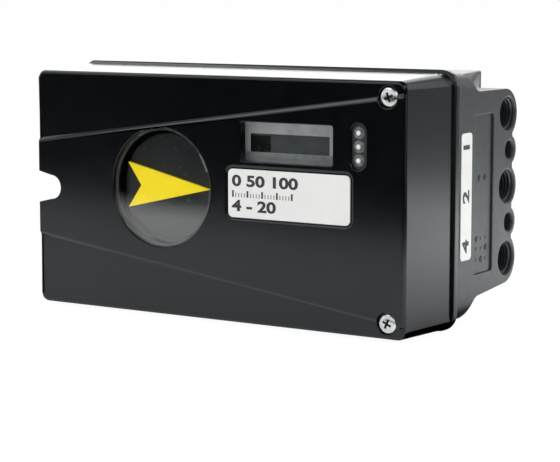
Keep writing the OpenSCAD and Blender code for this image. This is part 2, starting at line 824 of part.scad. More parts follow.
module air_galleries() {
    for (z = ports_z) {
        port_bore(port_r, port_mouth_r, port_depth, [-port_back, z]);
        rod_x(gallery_r, gallery_x - gallery_r, x_port_end + cut, [-port_back, z]);
        rod_y(gallery_r, y_floor - cut, -port_back, [gallery_x, z]);
    }
    for (z = studs_z) port_bore(stud_r, stud_mouth_r, port_depth, [-stud_back, z]);
    rod_x(filter_r + fit, x_port_end - filter_t, x_port_end + cut, [-port_back, ports_z[0]]);
}

// Cored pockets in the rear wall beside the mounting pad
module rear_pockets() {
    pocket_d = 5;
    rib = 4;
    corner = 3;
    right = [16, 16];
    left = [11, 20];
    along_y(-pad_rise - pocket_d, cut) for (s = [-1, 1]) {
        plate_2d(pad_r + rib + right[0] / 2, s * 14.5, right[0], right[1], corner);
        plate_2d(-pad_r - rib - 1 - left[0] / 2, s * 18, left[0], left[1], corner);
    }
}

module housing() {
    color("#202325") difference() {
        union() {
            difference() {
                union() {
                    along_y(y_flange, y_flange_back) flange_2d(0);
                    rear_box();
                    port_block();
                    rod_y(pad_r, -pad_rise - cut, 0);
                    rod_x(earth_boss_r, x_earth, x_cavity[0], earth_at);
                }
                along_y(y_flange - cut, y_floor) cavity_2d();
            }
            rod_y(spindle_boss_r, y_boss, y_floor + cut);
            for (p = pot_ears) rod_y(post_r, y_pot_plate + pot_plate_t, y_floor + cut, p);
            for (z = entries_z) rod_x(entry_boss_r, x_entry, x_entry + entry_depth, [y_entry, z]);
        }
        along_y(y_flange - cut, y_flange + groove_d) gasket_2d(gasket_clear);
        for (p = cover_screw_places)
            rod_y(cover_screw_r + fit, y_flange - cut, y_flange + cover_screw_grip + cut, p);
        for (p = board_screw_places) rod_y(small_tap_r, y_flange - cut, y_flange + pillar_stud_l + cut, p);
        for (p = pot_ears)
            rod_y(small_tap_r, y_pot_plate, y_pot_plate + pot_plate_t + pot_screw_l + cut, p);
        for (p = valve_screws)
            rod_y(valve_screw_r + fit, y_floor - cut, y_floor + valve_screw_grip + cut, p);
        rod_y(bush_r, y_boss - cut, y_boss + bush_l);
        rod_y(bush_r, y_bush_rear - bush_l, cut);
        rod_y(bush_r - bush_land, y_boss, 0);
        air_galleries();
        for (a = [45:90:315]) rod_y(mount_hole_r, -mount_hole_d, cut, polar(mount_pcd / 2, a));
        for (z = entries_z) rod_x(entry_r, x_entry - cut, x_entry + entry_depth + cut, [y_entry, z]);
        rod_z(vent_stem_r + fit, -box_half_h - cut, -cavity_half_h + cut, vent_at);
        rod_x(earth_hole_r, x_earth - cut, x_earth + earth_grip + cut, earth_at);
        rear_pockets();
        along_x(x_flange[1] - mark_d, x_flange[1] + cut)
            plate_2d(-mark_back - mark_w / 2, -mark_drop, mark_w, mark_h, mark_corner);
    }
}

// Spindle and travel indicator
module spindle() {
    flat = [4 * spindle_r, tongue_l + cut, 2 * spindle_r];
    color("#b9bbbc") difference() {
        union() {
            rod_y(spindle_r, y_collar, drive_step);
            rod_y(drive_r, 0, spindle_out);
            rod_y(collar_r, y_collar, y_collar + collar_t);
            rod_y(nose_r, y_disc + disc_t, y_collar + cut);
        }
        tube_y(spindle_r + cut, spindle_r - clip_groove_d, y_clip, y_clip + clip_play + clip_t);
        for (s = [-1, 1])
            translate([0, spindle_out - tongue_l / 2 + cut / 2, s * (tongue_t / 2 + spindle_r)])
                cube(flat, center = true);
    }
}

module spindle_bush_front() {
    color("#b08d4c") difference() {
        union() {
            rod_y(bush_r, y_boss, y_boss + bush_l);
            rod_y(bush_r + bush_flange_out, y_thrust, y_boss);
        }
        rod_y(spindle_r + run_clear, y_thrust - cut, y_boss + bush_l + cut);
    }
}

module spindle_bush_rear() {
    color("#b08d4c") tube_y(bush_r, spindle_r + run_clear, y_bush_rear - bush_l, y_bush_rear);
}

module spindle_seal() {
    lip = 0.6;
    bevel = 0.8;
    seal_l = 3;
    r_out = bush_r - bush_land;
    r_lip = spindle_r + run_clear;
    y_seal = y_boss + bush_l + 1;
    color("#141414") translate([0, y_seal + seal_l, 0]) rotate([90, 0, 0]) rotate_extrude()
        polygon([[r_out, 0], [r_out, seal_l], [spindle_r + bevel, seal_l], [r_lip, seal_l / 2 + lip],
            [r_lip, seal_l / 2 - lip], [spindle_r + bevel, 0]]);
}

module spindle_circlip() {
    r_in = spindle_r - clip_groove_d + clip_play;
    r_out = bush_r - head_clear;
    y_front = y_clip + clip_play;
    opening = 3;
    color("#3c3f41") difference() {
        tube_y(r_out, r_in, y_front, y_front + clip_t);
        translate([-opening / 2, y_front - cut, 0]) cube([opening, clip_t + 2 * cut, r_out + cut]);
    }
}

module feedback_gear() {
    hole_r = 4;
    hole_at = 15.5;
    color("#d9d4c4") difference() {
        union() {
            along_y(y_gear, y_gear + gear_t) polygon(gear_points(gear_teeth));
            rod_y(gear_hub_r, y_gear, y_collar);
        }
        rod_y(nose_r + mount_fit, y_gear - cut, y_collar + cut);
        rod_x(small_tap_r, nose_r, gear_hub_r + cut, [y_collar - set_screw_back, 0]);
        for (a = [0:60:300]) rod_y(hole_r, y_gear - cut, y_gear + gear_t + cut, polar(hole_at, a));
    }
}

module gear_set_screw() {
    sunk = 0.5;
    color("#3c3f41")
        rod_x(small_shank_r, nose_r + fit, gear_hub_r - sunk, [y_collar - set_screw_back, 0]);
}

module indicator_disc() {
    hub_r = 8;
    hub_l = 8;
    color("#2f3133") difference() {
        union() {
            rod_y(disc_r, y_disc, y_disc + disc_t);
            rod_y(hub_r, y_disc, y_disc + disc_t + hub_l);
        }
        rod_y(nose_r + mount_fit, y_disc + disc_t, y_disc + disc_t + hub_l + cut);
    }
}

module indicator_arrow() {
    color("#fbe92b") along_y(y_arrow, y_disc)
        polygon([[arrow_tip, 0], [-arrow_tail, arrow_half_w], [-arrow_notch, 0],
            [-arrow_tail, -arrow_half_w]]);
}

// Feedback potentiometer
module pot_body() {
    y_plate_back = y_pot_plate + pot_plate_t;
    color("#2d4a6a") difference() {
        union() {
            rod_y(pot_r, y_plate_back, y_plate_back + pot_l, pot_at);
            rod_y(pot_neck_r, y_pot_plate - pot_neck_l, y_plate_back + cut, pot_at);
        }
        rod_y(pot_shaft_r + run_clear, y_pot_plate - pot_neck_l - cut, y_plate_back + pot_l - pot_wall,
            pot_at);
    }
}

module pot_nut() {
    color("#c9b070") difference() {
        translate([pot_at[0], y_pot_plate, pot_at[1]]) rotate([90, 0, 0])
            cylinder(r = pot_nut_r, h = pot_nut_t, $fn = 6);
        rod_y(pot_neck_r + fit, y_pot_plate - pot_nut_t - cut, y_pot_plate + cut, pot_at);
    }
}

module pot_bracket() {
    bracket_lap = 1;
    bar_w = 1.7 * post_r;
    color("#b9bbbc") along_y(y_pot_plate, y_pot_plate + pot_plate_t) difference() {
        union() {
            discs([pot_at], pot_r + bracket_lap);
            discs(pot_ears, post_r);
            translate(pot_at) rotate(pinion_angle + 90) square([2 * pot_ear, bar_w], center = true);
        }
        discs([pot_at], pot_neck_r + fit);
        discs(pot_ears, small_pass_r);
    }
}

module pot_bracket_screws() {
    color("#d8d8d6") for (p = pot_ears) translate([p[0], y_pot_plate, p[1]])
        pan_screw(small_head_r, small_head_h, small_shank_r, pot_plate_t + pot_screw_l);
}

module pot_shaft() {
    proud = 1;
    end_gap = 1;
    y_end = y_pot_plate + pot_plate_t + pot_l - pot_wall - end_gap;
    color("#c4c6c7") rod_y(pot_shaft_r, y_gear - proud, y_end, pot_at);
}

module pot_pinion() {
    color("#d9d4c4") difference() {
        translate([pot_at[0], 0, pot_at[1]]) along_y(y_gear, y_gear + gear_t)
            rotate(pinion_angle + 180 + 180 / pinion_teeth) polygon(gear_points(pinion_teeth));
        rod_y(pot_shaft_r + mount_fit, y_gear - cut, y_gear + gear_t + cut, pot_at);
    }
}

// Electronics
module board_2d() {
    difference() {
        rect(board_left, board_right, -board_half_h, board_half_h);
        discs(corner_screws, column_r + board_column_gap);
        discs(board_screw_places, small_pass_r);
    }
}

module main_board() {
    color("#1f5a34") along_y(y_board, y_board + board_t) board_2d();
}

module board_pillars() {
    color("#c9b070") for (p = board_screw_places) difference() {
        union() {
            translate([p[0], y_flange, p[1]]) rotate([90, 0, 0])
                cylinder(r = pillar_r, h = pillar_h, $fn = 6);
            rod_y(small_shank_r, y_flange - cut, y_flange + pillar_stud_l, p);
        }
        rod_y(small_tap_r, y_flange - pillar_h - cut, y_flange - pillar_h + board_screw_grip + cut, p);
    }
}

module board_screws() {
    color("#d8d8d6") for (p = board_screw_places) translate([p[0], y_inner, p[1]])
        pan_screw(small_head_r, small_head_h, small_shank_r,
            inner_t + inner_rise + board_t + board_screw_grip);
}

module inner_cover() {
    clear = 0.5;
    lcd_w = display_w + 2 * lcd_margin;
    lcd_h = display_h + 2 * lcd_margin;
    color("#26292b") {
        along_y(y_inner, y_inner + inner_t) difference() {
            board_2d();
            plate_2d(display_x, display_z, lcd_w + 2 * clear, lcd_h + 2 * clear, lcd_corner);
            discs([for (x = keys_x) [x, key_z]], key_r + key_clear);
            discs([for (z = lights_z) [light_x, z]], pipe_r + fit);
            rect(terminal_x - clear, terminal_x + terminals * terminal_pitch + clear,
                terminal_z[0] - clear, terminal_z[1] + clear);
        }
        for (p = board_screw_places) tube_y(post_r, small_pass_r, y_inner + inner_t - fit, y_board, p);
    }
}

module lcd_module() {
    w = display_w + 2 * lcd_margin;
    h = display_h + 2 * lcd_margin;
    glass_in = 0.4;
    bezel = [0.5, 1];
    color("#6f7578") difference() {
        along_y(y_lcd, y_lcd + lcd_t) plate_2d(display_x, display_z, w, h, lcd_corner);
        along_y(y_lcd - cut, y_lcd + glass_in)
            plate_2d(display_x, display_z, display_w - 2 * bezel[0], display_h - 2 * bezel[1],
                lcd_corner / 2);
    }
}

module lcd_carrier() {
    w = display_w + 2 * lcd_margin;
    h = display_h + 2 * lcd_margin;
    wall = 1.5;
    color("#e4e2da") along_y(y_lcd + lcd_t, y_board) difference() {
        plate_2d(display_x, display_z, w, h, lcd_corner);
        plate_2d(display_x, display_z, w - 2 * wall, h - 2 * wall, lcd_corner / 2);
    }
}

module status_leds() {
    size = 2.4;
    color("#f2f0e0") for (z = lights_z)
        translate([light_x - size / 2, y_board - led_h, z - size / 2]) cube([size, led_h, size]);
}

module light_pipes() {
    y_tip = y_inside + display_window_t + pipe_gap;
    color("#dfe6e8", 0.6) for (z = lights_z) rod_y(pipe_r, y_tip, y_board - led_h, [light_x, z]);
}

module key_switches() {
    color("#2a2a2a") for (x = keys_x)
        translate([x - switch_w / 2, y_board - switch_h, key_z - switch_w / 2])
            cube([switch_w, switch_h, switch_w]);
}

module key(i) {
    skirt_t = 1;
    stem_r = 1.6;
    y_stem = y_board - switch_h - key_travel - key_play;
    y_skirt = y_inner + inner_t + key_play;
    at = [keys_x[i], key_z];
    color("#c6c9ca") {
        rod_y(key_r, y_inner - key_proud, y_skirt + skirt_t, at);
        rod_y(key_r + skirt_t, y_skirt, y_skirt + skirt_t, at);
        rod_y(stem_r, y_skirt, y_stem, at);
    }
}

module key_1() { key(0); }
module key_2() { key(1); }
module key_3() { key(2); }
module key_4() { key(3); }
module key_5() { key(4); }

function terminal_place(i) = terminal_x + (i + 0.5) * terminal_pitch;

module terminal_block() {
    wire_r = 1.9;
    wire_d = 7;
    wire_up = 4;
    y_top = y_board - terminal_h;
    color("#3f7f55") difference() {
        along_y(y_top, y_board)
            rect(terminal_x, terminal_x + terminals * terminal_pitch, terminal_z[0], terminal_z[1]);
        for (i = [0:terminals - 1]) {
            x = terminal_place(i);
            rod_y(terminal_hole_r, y_top - cut, y_top + terminal_hole_d, [x, terminal_screw_z]);
            rod_z(wire_r, terminal_z[0] - cut, terminal_z[0] + wire_d, [x, y_board - wire_up]);
        }
    }
}

module terminal_screws() {
    sunk = 1.5;
    slot = [0.7, 1.4, 5];
    y_top = y_board - terminal_h;
    color("#c4c6c7") for (i = [0:terminals - 1]) difference() {
        rod_y(terminal_hole_r - 2 * fit, y_top + sunk, y_top + terminal_hole_d,
            [terminal_place(i), terminal_screw_z]);
        translate([terminal_place(i), y_top + sunk, terminal_screw_z]) cube(slot, center = true);
    }
}

// Air valve
module block_gasket() {
    color("#141414") along_y(y_valve[1], y_floor) difference() {
        rect(x_valve[0], x_valve[1], -valve_half_l, valve_half_l);
        discs([for (z = ports_z) [gallery_x, z]], gallery_r);
        discs(valve_screws, valve_screw_r + screw_clear);
    }
}

module valve_block() {
    color("#a9adaf") difference() {
        along_y(y_valve[0], y_valve[1]) rect(x_valve[0], x_valve[1], -valve_half_l, valve_half_l);
        rod_z(sleeve_r + mount_fit, -valve_half_l - cut, valve_half_l + cut, spool_at);
        for (z = ports_z) rod_y(gallery_r, spool_at[1], y_valve[1] + cut, [gallery_x, z]);
        for (p = valve_screws) rod_y(valve_screw_r + screw_clear, y_valve[0] - cut, y_valve[1] + cut, p);
        for (x = [-cap_tap_x, cap_tap_x], z = [-valve_half_l - cut, valve_half_l - cap_tap_d])
            rod_z(small_tap_r, z, z + cap_tap_d + cut, spool_at + [x, 0]);
    }
}

module block_screws() {
    color("#d8d8d6") for (p = valve_screws) translate([p[0], y_valve[0], p[1]])
        pan_screw(valve_head_r, valve_head_h, valve_screw_r, valve_d + valve_gasket_t + valve_screw_grip);
}

module spool_sleeve() {
    ring_w = 5;
    ring_d = 1.2;
    hole_r = 1.3;
    seal_w = 2;
    seal_d = 1.4;
    feed_z = sleeve_half_l * 0.84;
    color("#c4c6c7") difference() {
        rod_z(sleeve_r, -sleeve_half_l, sleeve_half_l, spool_at);
        rod_z(spool_r + spool_clear, -sleeve_half_l - cut, sleeve_half_l + cut, spool_at);
        for (z = [-feed_z, 0, feed_z]) {
            difference() {
                rod_z(sleeve_r + cut, z - ring_w / 2, z + ring_w / 2, spool_at);
                rod_z(sleeve_r - ring_d, z - ring_w / 2 - cut, z + ring_w / 2 + cut, spool_at);
            }
            rod_x(hole_r, spool_at[0] - sleeve_r, spool_at[0] + sleeve_r, [spool_at[1], z]);
        }
        for (z = [-sleeve_half_l / 2, sleeve_half_l / 2]) difference() {
            rod_z(sleeve_r + cut, z - seal_w / 2, z + seal_w / 2, spool_at);
            rod_z(sleeve_r - seal_d, z - seal_w, z + seal_w, spool_at);
        }
    }
}

module sleeve_seals() {
    ring_r = 0.68;
    color("#141414") for (z = [-sleeve_half_l / 2, sleeve_half_l / 2])
        translate([spool_at[0], spool_at[1], z])
            rotate_extrude() translate([sleeve_r - mount_fit - ring_r, 0]) circle(ring_r);
}

module spool() {
    waist = spool_half_l * 0.46;
    waist_l = spool_half_l * 0.5;
    waist_r = spool_r * 0.65;
    color("#d0d2d3") difference() {
        rod_z(spool_r, -spool_half_l, spool_half_l, spool_at);
        for (z = [-waist, waist]) difference() {
            rod_z(spool_r + cut, z - waist_l / 2, z + waist_l / 2, spool_at);
            rod_z(waist_r, z - waist_l, z + waist_l, spool_at);
        }
    }
}

// Helical spring below the spool, swept as rings of points along its coil
module spool_spring() {
    sides = 8;
    turns = 4;
    steps = 14 * turns;
    spring_gap = 0.2;
    spring_l = valve_half_l - spool_half_l - spool_travel - spring_gap - 2 * spring_wire_r;
    ring_points = [for (k = [0:steps], j = [0:sides - 1])
        let (a = k / steps * turns * 360, b = j * 360 / sides, r = spring_r + spring_wire_r * cos(b))
        [r * cos(a), r * sin(a), k / steps * spring_l + spring_wire_r * sin(b)]];
    skin = [for (k = [0:steps - 1], j = [0:sides - 1]) let (n = (j + 1) % sides)
        [k * sides + j, (k + 1) * sides + j, (k + 1) * sides + n, k * sides + n]];
    ends = [[for (j = [0:sides - 1]) j], [for (j = [0:sides - 1]) (steps + 1) * sides - 1 - j]];
    color("#c4c6c7") translate([spool_at[0], spool_at[1], -valve_half_l + spring_wire_r])
        polyhedron(ring_points, concat(skin, ends));
}

module end_caps() {
    inset = 2;
    color("#a9adaf") for (z = [-valve_half_l - cap_t, valve_half_l]) difference() {
        translate([x_valve[0] + inset, y_valve[0] + inset, z])
            cube([valve_w - 2 * inset, valve_d - 2 * inset, cap_t]);
        for (x = [-cap_tap_x, cap_tap_x]) rod_z(small_pass_r, z - cut, z + cap_t + cut, spool_at + [x, 0]);
    }
}

module end_cap_screws() {
    head_r = 2.5;
    head_h = 1.5;
    grip = 6;
    color("#d8d8d6") for (m = [0, 1], x = [-cap_tap_x, cap_tap_x]) mirror([0, 0, m])
        translate([spool_at[0] + x, spool_at[1], valve_half_l + cap_t]) rotate([-90, 0, 0])
            pan_screw(head_r, head_h, small_shank_r, cap_t + grip);
}

module pilot_valve() {
    base_h = 4;
    half_w = cap_tap_x;
    half_l = port_pitch / 2 - valve_head_r - head_clear;
    coil_r = 5;
    sunk = 2;
    color("#2a2d2f") {
        along_y(y_valve[0] - base_h, y_valve[0])
            rect(spool_at[0] - half_w, spool_at[0] + half_w, -half_l, half_l);
        rod_z(coil_r, -half_l + sunk, half_l - sunk, [spool_at[0], y_valve[0] - base_h - coil_r + sunk]);
    }
}

module pressure_sensors() {
    sensor_z = valve_half_l * 0.7;
    case_r = 4.5;
    case_h = 4;
    neck_r = 3;
    neck_h = 3;
    color("#c4c6c7") for (z = [-sensor_z, sensor_z]) {
        rod_y(case_r, y_valve[0] - case_h, y_valve[0], [spool_at[0], z]);
        rod_y(neck_r, y_valve[0] - case_h - neck_h, y_valve[0] - case_h + fit, [spool_at[0], z]);
    }
}

module inlet_filter() {
    color("#b08d4c") rod_x(filter_r, x_port_end - filter_t, x_port_end, [-port_back, ports_z[0]]);
}

// Outside fittings
module vent_plug() {
    slot_r = 0.8;
    color("#1c1e1f") difference() {
        union() {
            rod_z(vent_cap_r, -box_half_h - vent_cap_h, -box_half_h, vent_at);
            rod_z(vent_stem_r, -box_half_h - cut, -cavity_half_h, vent_at);
        }
        translate([vent_at[0], vent_at[1], -box_half_h - vent_cap_h / 2]) for (a = [0:45:315])
            rotate([0, 0, a]) rod_x(slot_r, vent_stem_r + cut, vent_cap_r + cut, [0, 0]);
    }
}

module blanking_plug() {
    hex_r = entry_boss_r - plug_set_in;
    socket_r = 5;
    socket_d = 2;
    thread_short = 4;
    x_head = x_entry - plug_seal_t - plug_head;
    at = [y_entry, entries_z[0]];
    color("#b4b6b7") difference() {
        union() {
            translate([x_head, at[0], at[1]]) rotate([0, 90, 0])
                cylinder(r = hex_r, h = plug_head, $fn = 6);
            rod_x(entry_r - fit, x_head + plug_head - fit, x_entry + entry_depth - thread_short, at);
        }
        rod_x(socket_r, x_head - cut, x_head + socket_d, at);
    }
}

module plug_seal() {
    at = [y_entry, entries_z[0]];
    color("#141414") difference() {
        rod_x(entry_boss_r - plug_seal_in, x_entry - plug_seal_t, x_entry, at);
        rod_x(entry_r, x_entry - plug_seal_t - cut, x_entry + cut, at);
    }
}

module earth_screw() {
    color("#d8d8d6") translate([x_earth - earth_washer_t, earth_at[0], earth_at[1]]) rotate([0, 0, -90])
        pan_screw(earth_head_r, earth_head_h, earth_hole_r - fit, earth_washer_t + earth_grip);
}

module earth_washer() {
    size = 9;
    color("#c9b070") along_x(x_earth - earth_washer_t, x_earth) difference() {
        plate_2d(earth_at[0], earth_at[1], size, size, 1);
        translate(earth_at) circle(earth_hole_r + 2 * fit);
    }
}

housing();
front_cover();
cover_gasket();
cover_screws();
indicator_window();
window_seal();
display_window();
light_window();
name_plate();
port_label();
spindle();
spindle_bush_front();
spindle_bush_rear();
spindle_seal();
spindle_circlip();
feedback_gear();
gear_set_screw();
indicator_disc();
indicator_arrow();
pot_body();
pot_nut();
pot_bracket();
pot_bracket_screws();
pot_shaft();
pot_pinion();
main_board();
board_pillars();
board_screws();
inner_cover();
lcd_module();
lcd_carrier();
status_leds();
light_pipes();
key_switches();
key_1();
key_2();
key_3();
key_4();
key_5();
terminal_block();
terminal_screws();
valve_block();
block_gasket();
block_screws();
spool_sleeve();
sleeve_seals();
spool();
spool_spring();
end_caps();
end_cap_screws();
pilot_valve();
pressure_sensors();
inlet_filter();
vent_plug();
blanking_plug();
plug_seal();
earth_screw();
earth_washer();
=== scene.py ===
"""Looks of a rotary valve positioner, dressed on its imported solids."""

import json
import math

import bmesh
import bpy
from bpy.props import FloatProperty, FloatVectorProperty, IntProperty, PointerProperty
from mathutils import Matrix, Vector


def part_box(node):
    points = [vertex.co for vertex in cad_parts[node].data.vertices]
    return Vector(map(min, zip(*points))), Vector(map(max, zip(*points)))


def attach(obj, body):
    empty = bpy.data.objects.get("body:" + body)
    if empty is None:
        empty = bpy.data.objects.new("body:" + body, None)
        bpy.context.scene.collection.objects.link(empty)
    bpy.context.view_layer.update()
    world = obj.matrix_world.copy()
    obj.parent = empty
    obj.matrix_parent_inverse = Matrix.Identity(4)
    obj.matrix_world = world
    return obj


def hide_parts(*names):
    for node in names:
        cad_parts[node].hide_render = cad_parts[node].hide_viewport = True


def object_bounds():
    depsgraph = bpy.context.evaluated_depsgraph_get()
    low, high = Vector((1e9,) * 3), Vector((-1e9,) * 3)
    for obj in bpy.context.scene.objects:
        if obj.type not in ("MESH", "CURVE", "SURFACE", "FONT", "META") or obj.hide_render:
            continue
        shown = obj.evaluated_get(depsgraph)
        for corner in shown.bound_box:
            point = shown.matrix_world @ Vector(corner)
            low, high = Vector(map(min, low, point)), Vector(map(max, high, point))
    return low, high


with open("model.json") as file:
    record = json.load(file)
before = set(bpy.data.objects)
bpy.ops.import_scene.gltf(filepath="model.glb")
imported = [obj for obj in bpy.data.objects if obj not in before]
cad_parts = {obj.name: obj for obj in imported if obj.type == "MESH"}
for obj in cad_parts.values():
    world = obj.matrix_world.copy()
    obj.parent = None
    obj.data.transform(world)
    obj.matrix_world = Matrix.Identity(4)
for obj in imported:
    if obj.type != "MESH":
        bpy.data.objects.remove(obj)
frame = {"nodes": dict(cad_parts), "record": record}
CAD_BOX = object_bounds()

bl_info = {
    "name": "Valve Positioner Looks",
    "version": (1, 0, 0),
    "blender": (4, 5, 0),
    "location": "3D View > Sidebar > Positioner",
    "description": "Dresses the solids of a valve positioner with finishes and fine detail",
    "category": "Object",
}

MM = 0.001
WELD = 1e-7
SHARP = math.radians(35)
SLIGHT = math.radians(8)
FLAT = math.radians(0.1)
NEAR = 0.1 * MM
EXACT = 0.02 * MM
LARGE_FLAT = 150 * MM * MM
FACE_FRONT = Matrix.Rotation(math.radians(90), 4, "X")

# Printed text: height of a capital in a font of size 1, added stroke width and breadth.
CAP_HEIGHT = 0.72
STROKE = 0.05
BREADTH = 1.45


def linear(code):
    """An sRGB hex colour as linear RGBA."""
    parts = [int(code[i:i + 2], 16) / 255 for i in (1, 3, 5)]
    return (*[c / 12.92 if c <= 0.04045 else ((c + 0.055) / 1.055) ** 2.4 for c in parts], 1.0)


COOL = linear("#edf7ff")


class PositionerColours(bpy.types.PropertyGroup):
    """Colours that change from one order to the next."""

    cover: FloatVectorProperty(
        name="Cover", description="Powder coat of the front cover", subtype="COLOR", size=4,
        min=0, max=1, default=linear("#070809"))
    housing: FloatVectorProperty(
        name="Housing", description="Powder coat of the housing", subtype="COLOR", size=4,
        min=0, max=1, default=linear("#2a2d2f"))
    arrow: FloatVectorProperty(
        name="Arrow", description="Travel arrow", subtype="COLOR", size=4,
        min=0, max=1, default=linear("#ffe31a"))
    disc: FloatVectorProperty(
        name="Disc", description="Disc behind the arrow", subtype="COLOR", size=4,
        min=0, max=1, default=linear("#282b2d"))
    label: FloatVectorProperty(
        name="Label", description="Name plate and port label", subtype="COLOR", size=4,
        min=0, max=1, default=linear("#ebebea"))
    ink: FloatVectorProperty(
        name="Ink", description="Printed numbers and lines", subtype="COLOR", size=4,
        min=0, max=1, default=linear("#2b2d2f"))


class PositionerSizes(bpy.types.PropertyGroup):
    """Sizes of the fine detail."""

    edge: FloatProperty(
        name="Edge rounding", description="Rounding of the cast edges", unit="LENGTH", default=0.4 * MM)
    port_pitch: FloatProperty(
        name="Port pitch", description="Thread pitch of the air ports", unit="LENGTH", default=1.337 * MM)
    entry_pitch: FloatProperty(
        name="Entry pitch", description="Thread pitch of the cable entry", unit="LENGTH", default=1.5 * MM)
    digit: FloatProperty(
        name="Digit height", description="Height of the printed numbers", unit="LENGTH", default=4.2 * MM)
    ink: FloatProperty(
        name="Ink thickness", description="Thickness of printed ink", unit="LENGTH", default=0.02 * MM)
    head_radius: FloatProperty(
        name="Screw head radius", description="Radius of the cover screw heads", unit="LENGTH",
        default=3.7 * MM)
    head_height: FloatProperty(
        name="Screw head height", description="Height of the cover screw heads", unit="LENGTH",
        default=2.4 * MM)
    lens_width: FloatProperty(
        name="Light lens width", description="Width of the status light lens", unit="LENGTH",
        default=6.3 * MM)
    lens_height: FloatProperty(
        name="Light lens height", description="Height of the status light lens", unit="LENGTH",
        default=17.2 * MM)
    scale_ticks: IntProperty(
        name="Scale ticks", description="Intervals on the plate's printed scale", default=20, min=4, max=40)


class PositionerStage(bpy.types.PropertyGroup):
    """Camera and studio light."""

    camera_at: FloatVectorProperty(
        name="Camera", description="Place of the camera", subtype="TRANSLATION", unit="LENGTH", size=3,
        default=(445.4 * MM, -692.6 * MM, 79.9 * MM))
    yaw: FloatProperty(
        name="Yaw", description="Turn of the camera to the left", subtype="ANGLE",
        default=math.radians(32.76))
    pitch: FloatProperty(
        name="Pitch", description="Tilt of the camera downward", subtype="ANGLE",
        default=math.radians(7.39))
    lens: FloatProperty(
        name="Lens", description="Focal length on a 36 mm sensor", unit="CAMERA", default=122.1)
    fill: FloatProperty(
        name="Fill", description="Strength of the even light all round", default=0.36, min=0, max=2)
    key: FloatProperty(
        name="Key", description="Power of the large softbox at front left", unit="POWER", default=6.5)
    side: FloatProperty(
        name="Side", description="Power of the softbox on the right", unit="POWER", default=4.5)
    table: FloatProperty(
        name="Table", description="Power of each lamp over the table", unit="POWER", default=4.0)
    edge: FloatProperty(
        name="Edge", description="Power of the high softbox that draws the upper front edge", unit="POWER",
        default=9.0)
    back: FloatProperty(
        name="Back", description="Power of the softbox behind", unit="POWER", default=11.5)


def colours():
    return bpy.context.scene.positioner_colours


def sizes():
    return bpy.context.scene.positioner_sizes


def ramp(value, span):
    """From 0 to 1 as the value goes from 0 to the span."""
    return max(0, min(1, value / span))


def add_node(tree, kind, sockets=None, **settings):
    """Adds a node, sets its properties, and sets or links its input sockets."""
    made = tree.nodes.new(kind)
    for name, value in settings.items():
        setattr(made, name, value)
    for key, value in (sockets or {}).items():
        if isinstance(value, bpy.types.NodeSocket):
            tree.links.new(value, made.inputs[key])
        else:
            made.inputs[key].default_value = value
    return made


def start_material(name, values):
    """A material with one principled shader that has these socket values."""
    made = bpy.data.materials.new(name)
    made.use_nodes = True
    tree = made.node_tree
    shader = tree.nodes["Principled BSDF"]
    for key, value in values.items():
        shader.inputs[key].default_value = value
    return made, tree, shader


def grain(tree, size_mm, low, high, detail=2.0, stretch=(1, 1, 1)):
    """Soft noise from low to high whose lumps are size_mm across, longer where stretch is small."""
    place = add_node(tree, "ShaderNodeTexCoord")
    mapped = add_node(tree, "ShaderNodeMapping", {"Vector": place.outputs["Object"], "Scale": stretch})
    noise = add_node(tree, "ShaderNodeTexNoise", {
        "Vector": mapped.outputs["Vector"], "Scale": 1 / (size_mm * MM), "Detail": detail})
    spread = add_node(tree, "ShaderNodeMapRange", {
        "Value": noise.outputs["Fac"], "From Min": 0.3, "From Max": 0.7, "To Min": low, "To Max": high})
    return spread.outputs["Result"]


def shade(tree, colour, factor):
    """The colour made darker or lighter by a factor socket."""
    mixed = add_node(tree, "ShaderNodeVectorMath", {
        0: tuple(colour)[:3], "Scale": factor}, operation="SCALE")
    return mixed.outputs["Vector"]


def relief(tree, shader, height, depth_mm):
    """Raises the surface by depth_mm where the height socket is 1."""
    bump = add_node(tree, "ShaderNodeBump", {"Height": height, "Distance": depth_mm * MM, "Strength": 1.0})
    tree.links.new(bump.outputs["Normal"], shader.inputs["Normal"])


def textured(name, values, colour, tone, roughness, bump, stretch=(1, 1, 1)):
    """A material whose colour, roughness and relief all vary.

    tone is (lump mm, darkest, lightest), roughness is (lump mm, low, high), bump is (lump mm, depth mm).
    """
    found = bpy.data.materials.get(name)
    if found:
        return found
    made, tree, shader = start_material(name, values)
    tree.links.new(shade(tree, colour, grain(tree, *tone, stretch=stretch)), shader.inputs["Base Color"])
    tree.links.new(grain(tree, *roughness, stretch=stretch), shader.inputs["Roughness"])
    relief(tree, shader, grain(tree, bump[0], 0, 1, stretch=stretch), bump[1])
    return made


def cover_enamel():
    # Polyester powder baked on die-cast aluminium: near black, semi-gloss, a faint orange peel.
    return textured("black_powder_coat_gloss", {"IOR": 1.5, "Specular Tint": COOL}, colours().cover,
                    tone=(14, 0.8, 1.2), roughness=(5, 0.14, 0.17), bump=(0.8, 0.002))


def housing_enamel():
    # The same powder on rougher castings: greyer and duller, with a fine pebble.
    return textured("black_powder_coat_satin", {"IOR": 1.5, "Specular Tint": COOL}, colours().housing,
                    tone=(11, 0.85, 1.15), roughness=(4, 0.3, 0.38), bump=(0.8, 0.006))


def moulded(name, code, roughness=0.45, lump=0.5, depth=0.004):
    """A moulded plastic with a fine spark-eroded grain."""
    return textured(name, {"IOR": 1.53}, linear(code), tone=(6, 0.9, 1.08),
                    roughness=(3, roughness - 0.05, roughness + 0.05), bump=(lump, depth))


def turned(name, code, low=0.2, high=0.36, stretch=(1, 1, 1)):
    """A machined metal with tool lines where stretch draws the noise out."""
    return textured(name, {"Metallic": 1.0}, linear(code), tone=(2, 0.88, 1.06),
                    roughness=(0.6, low, high), bump=(0.25, 0.0015), stretch=stretch)


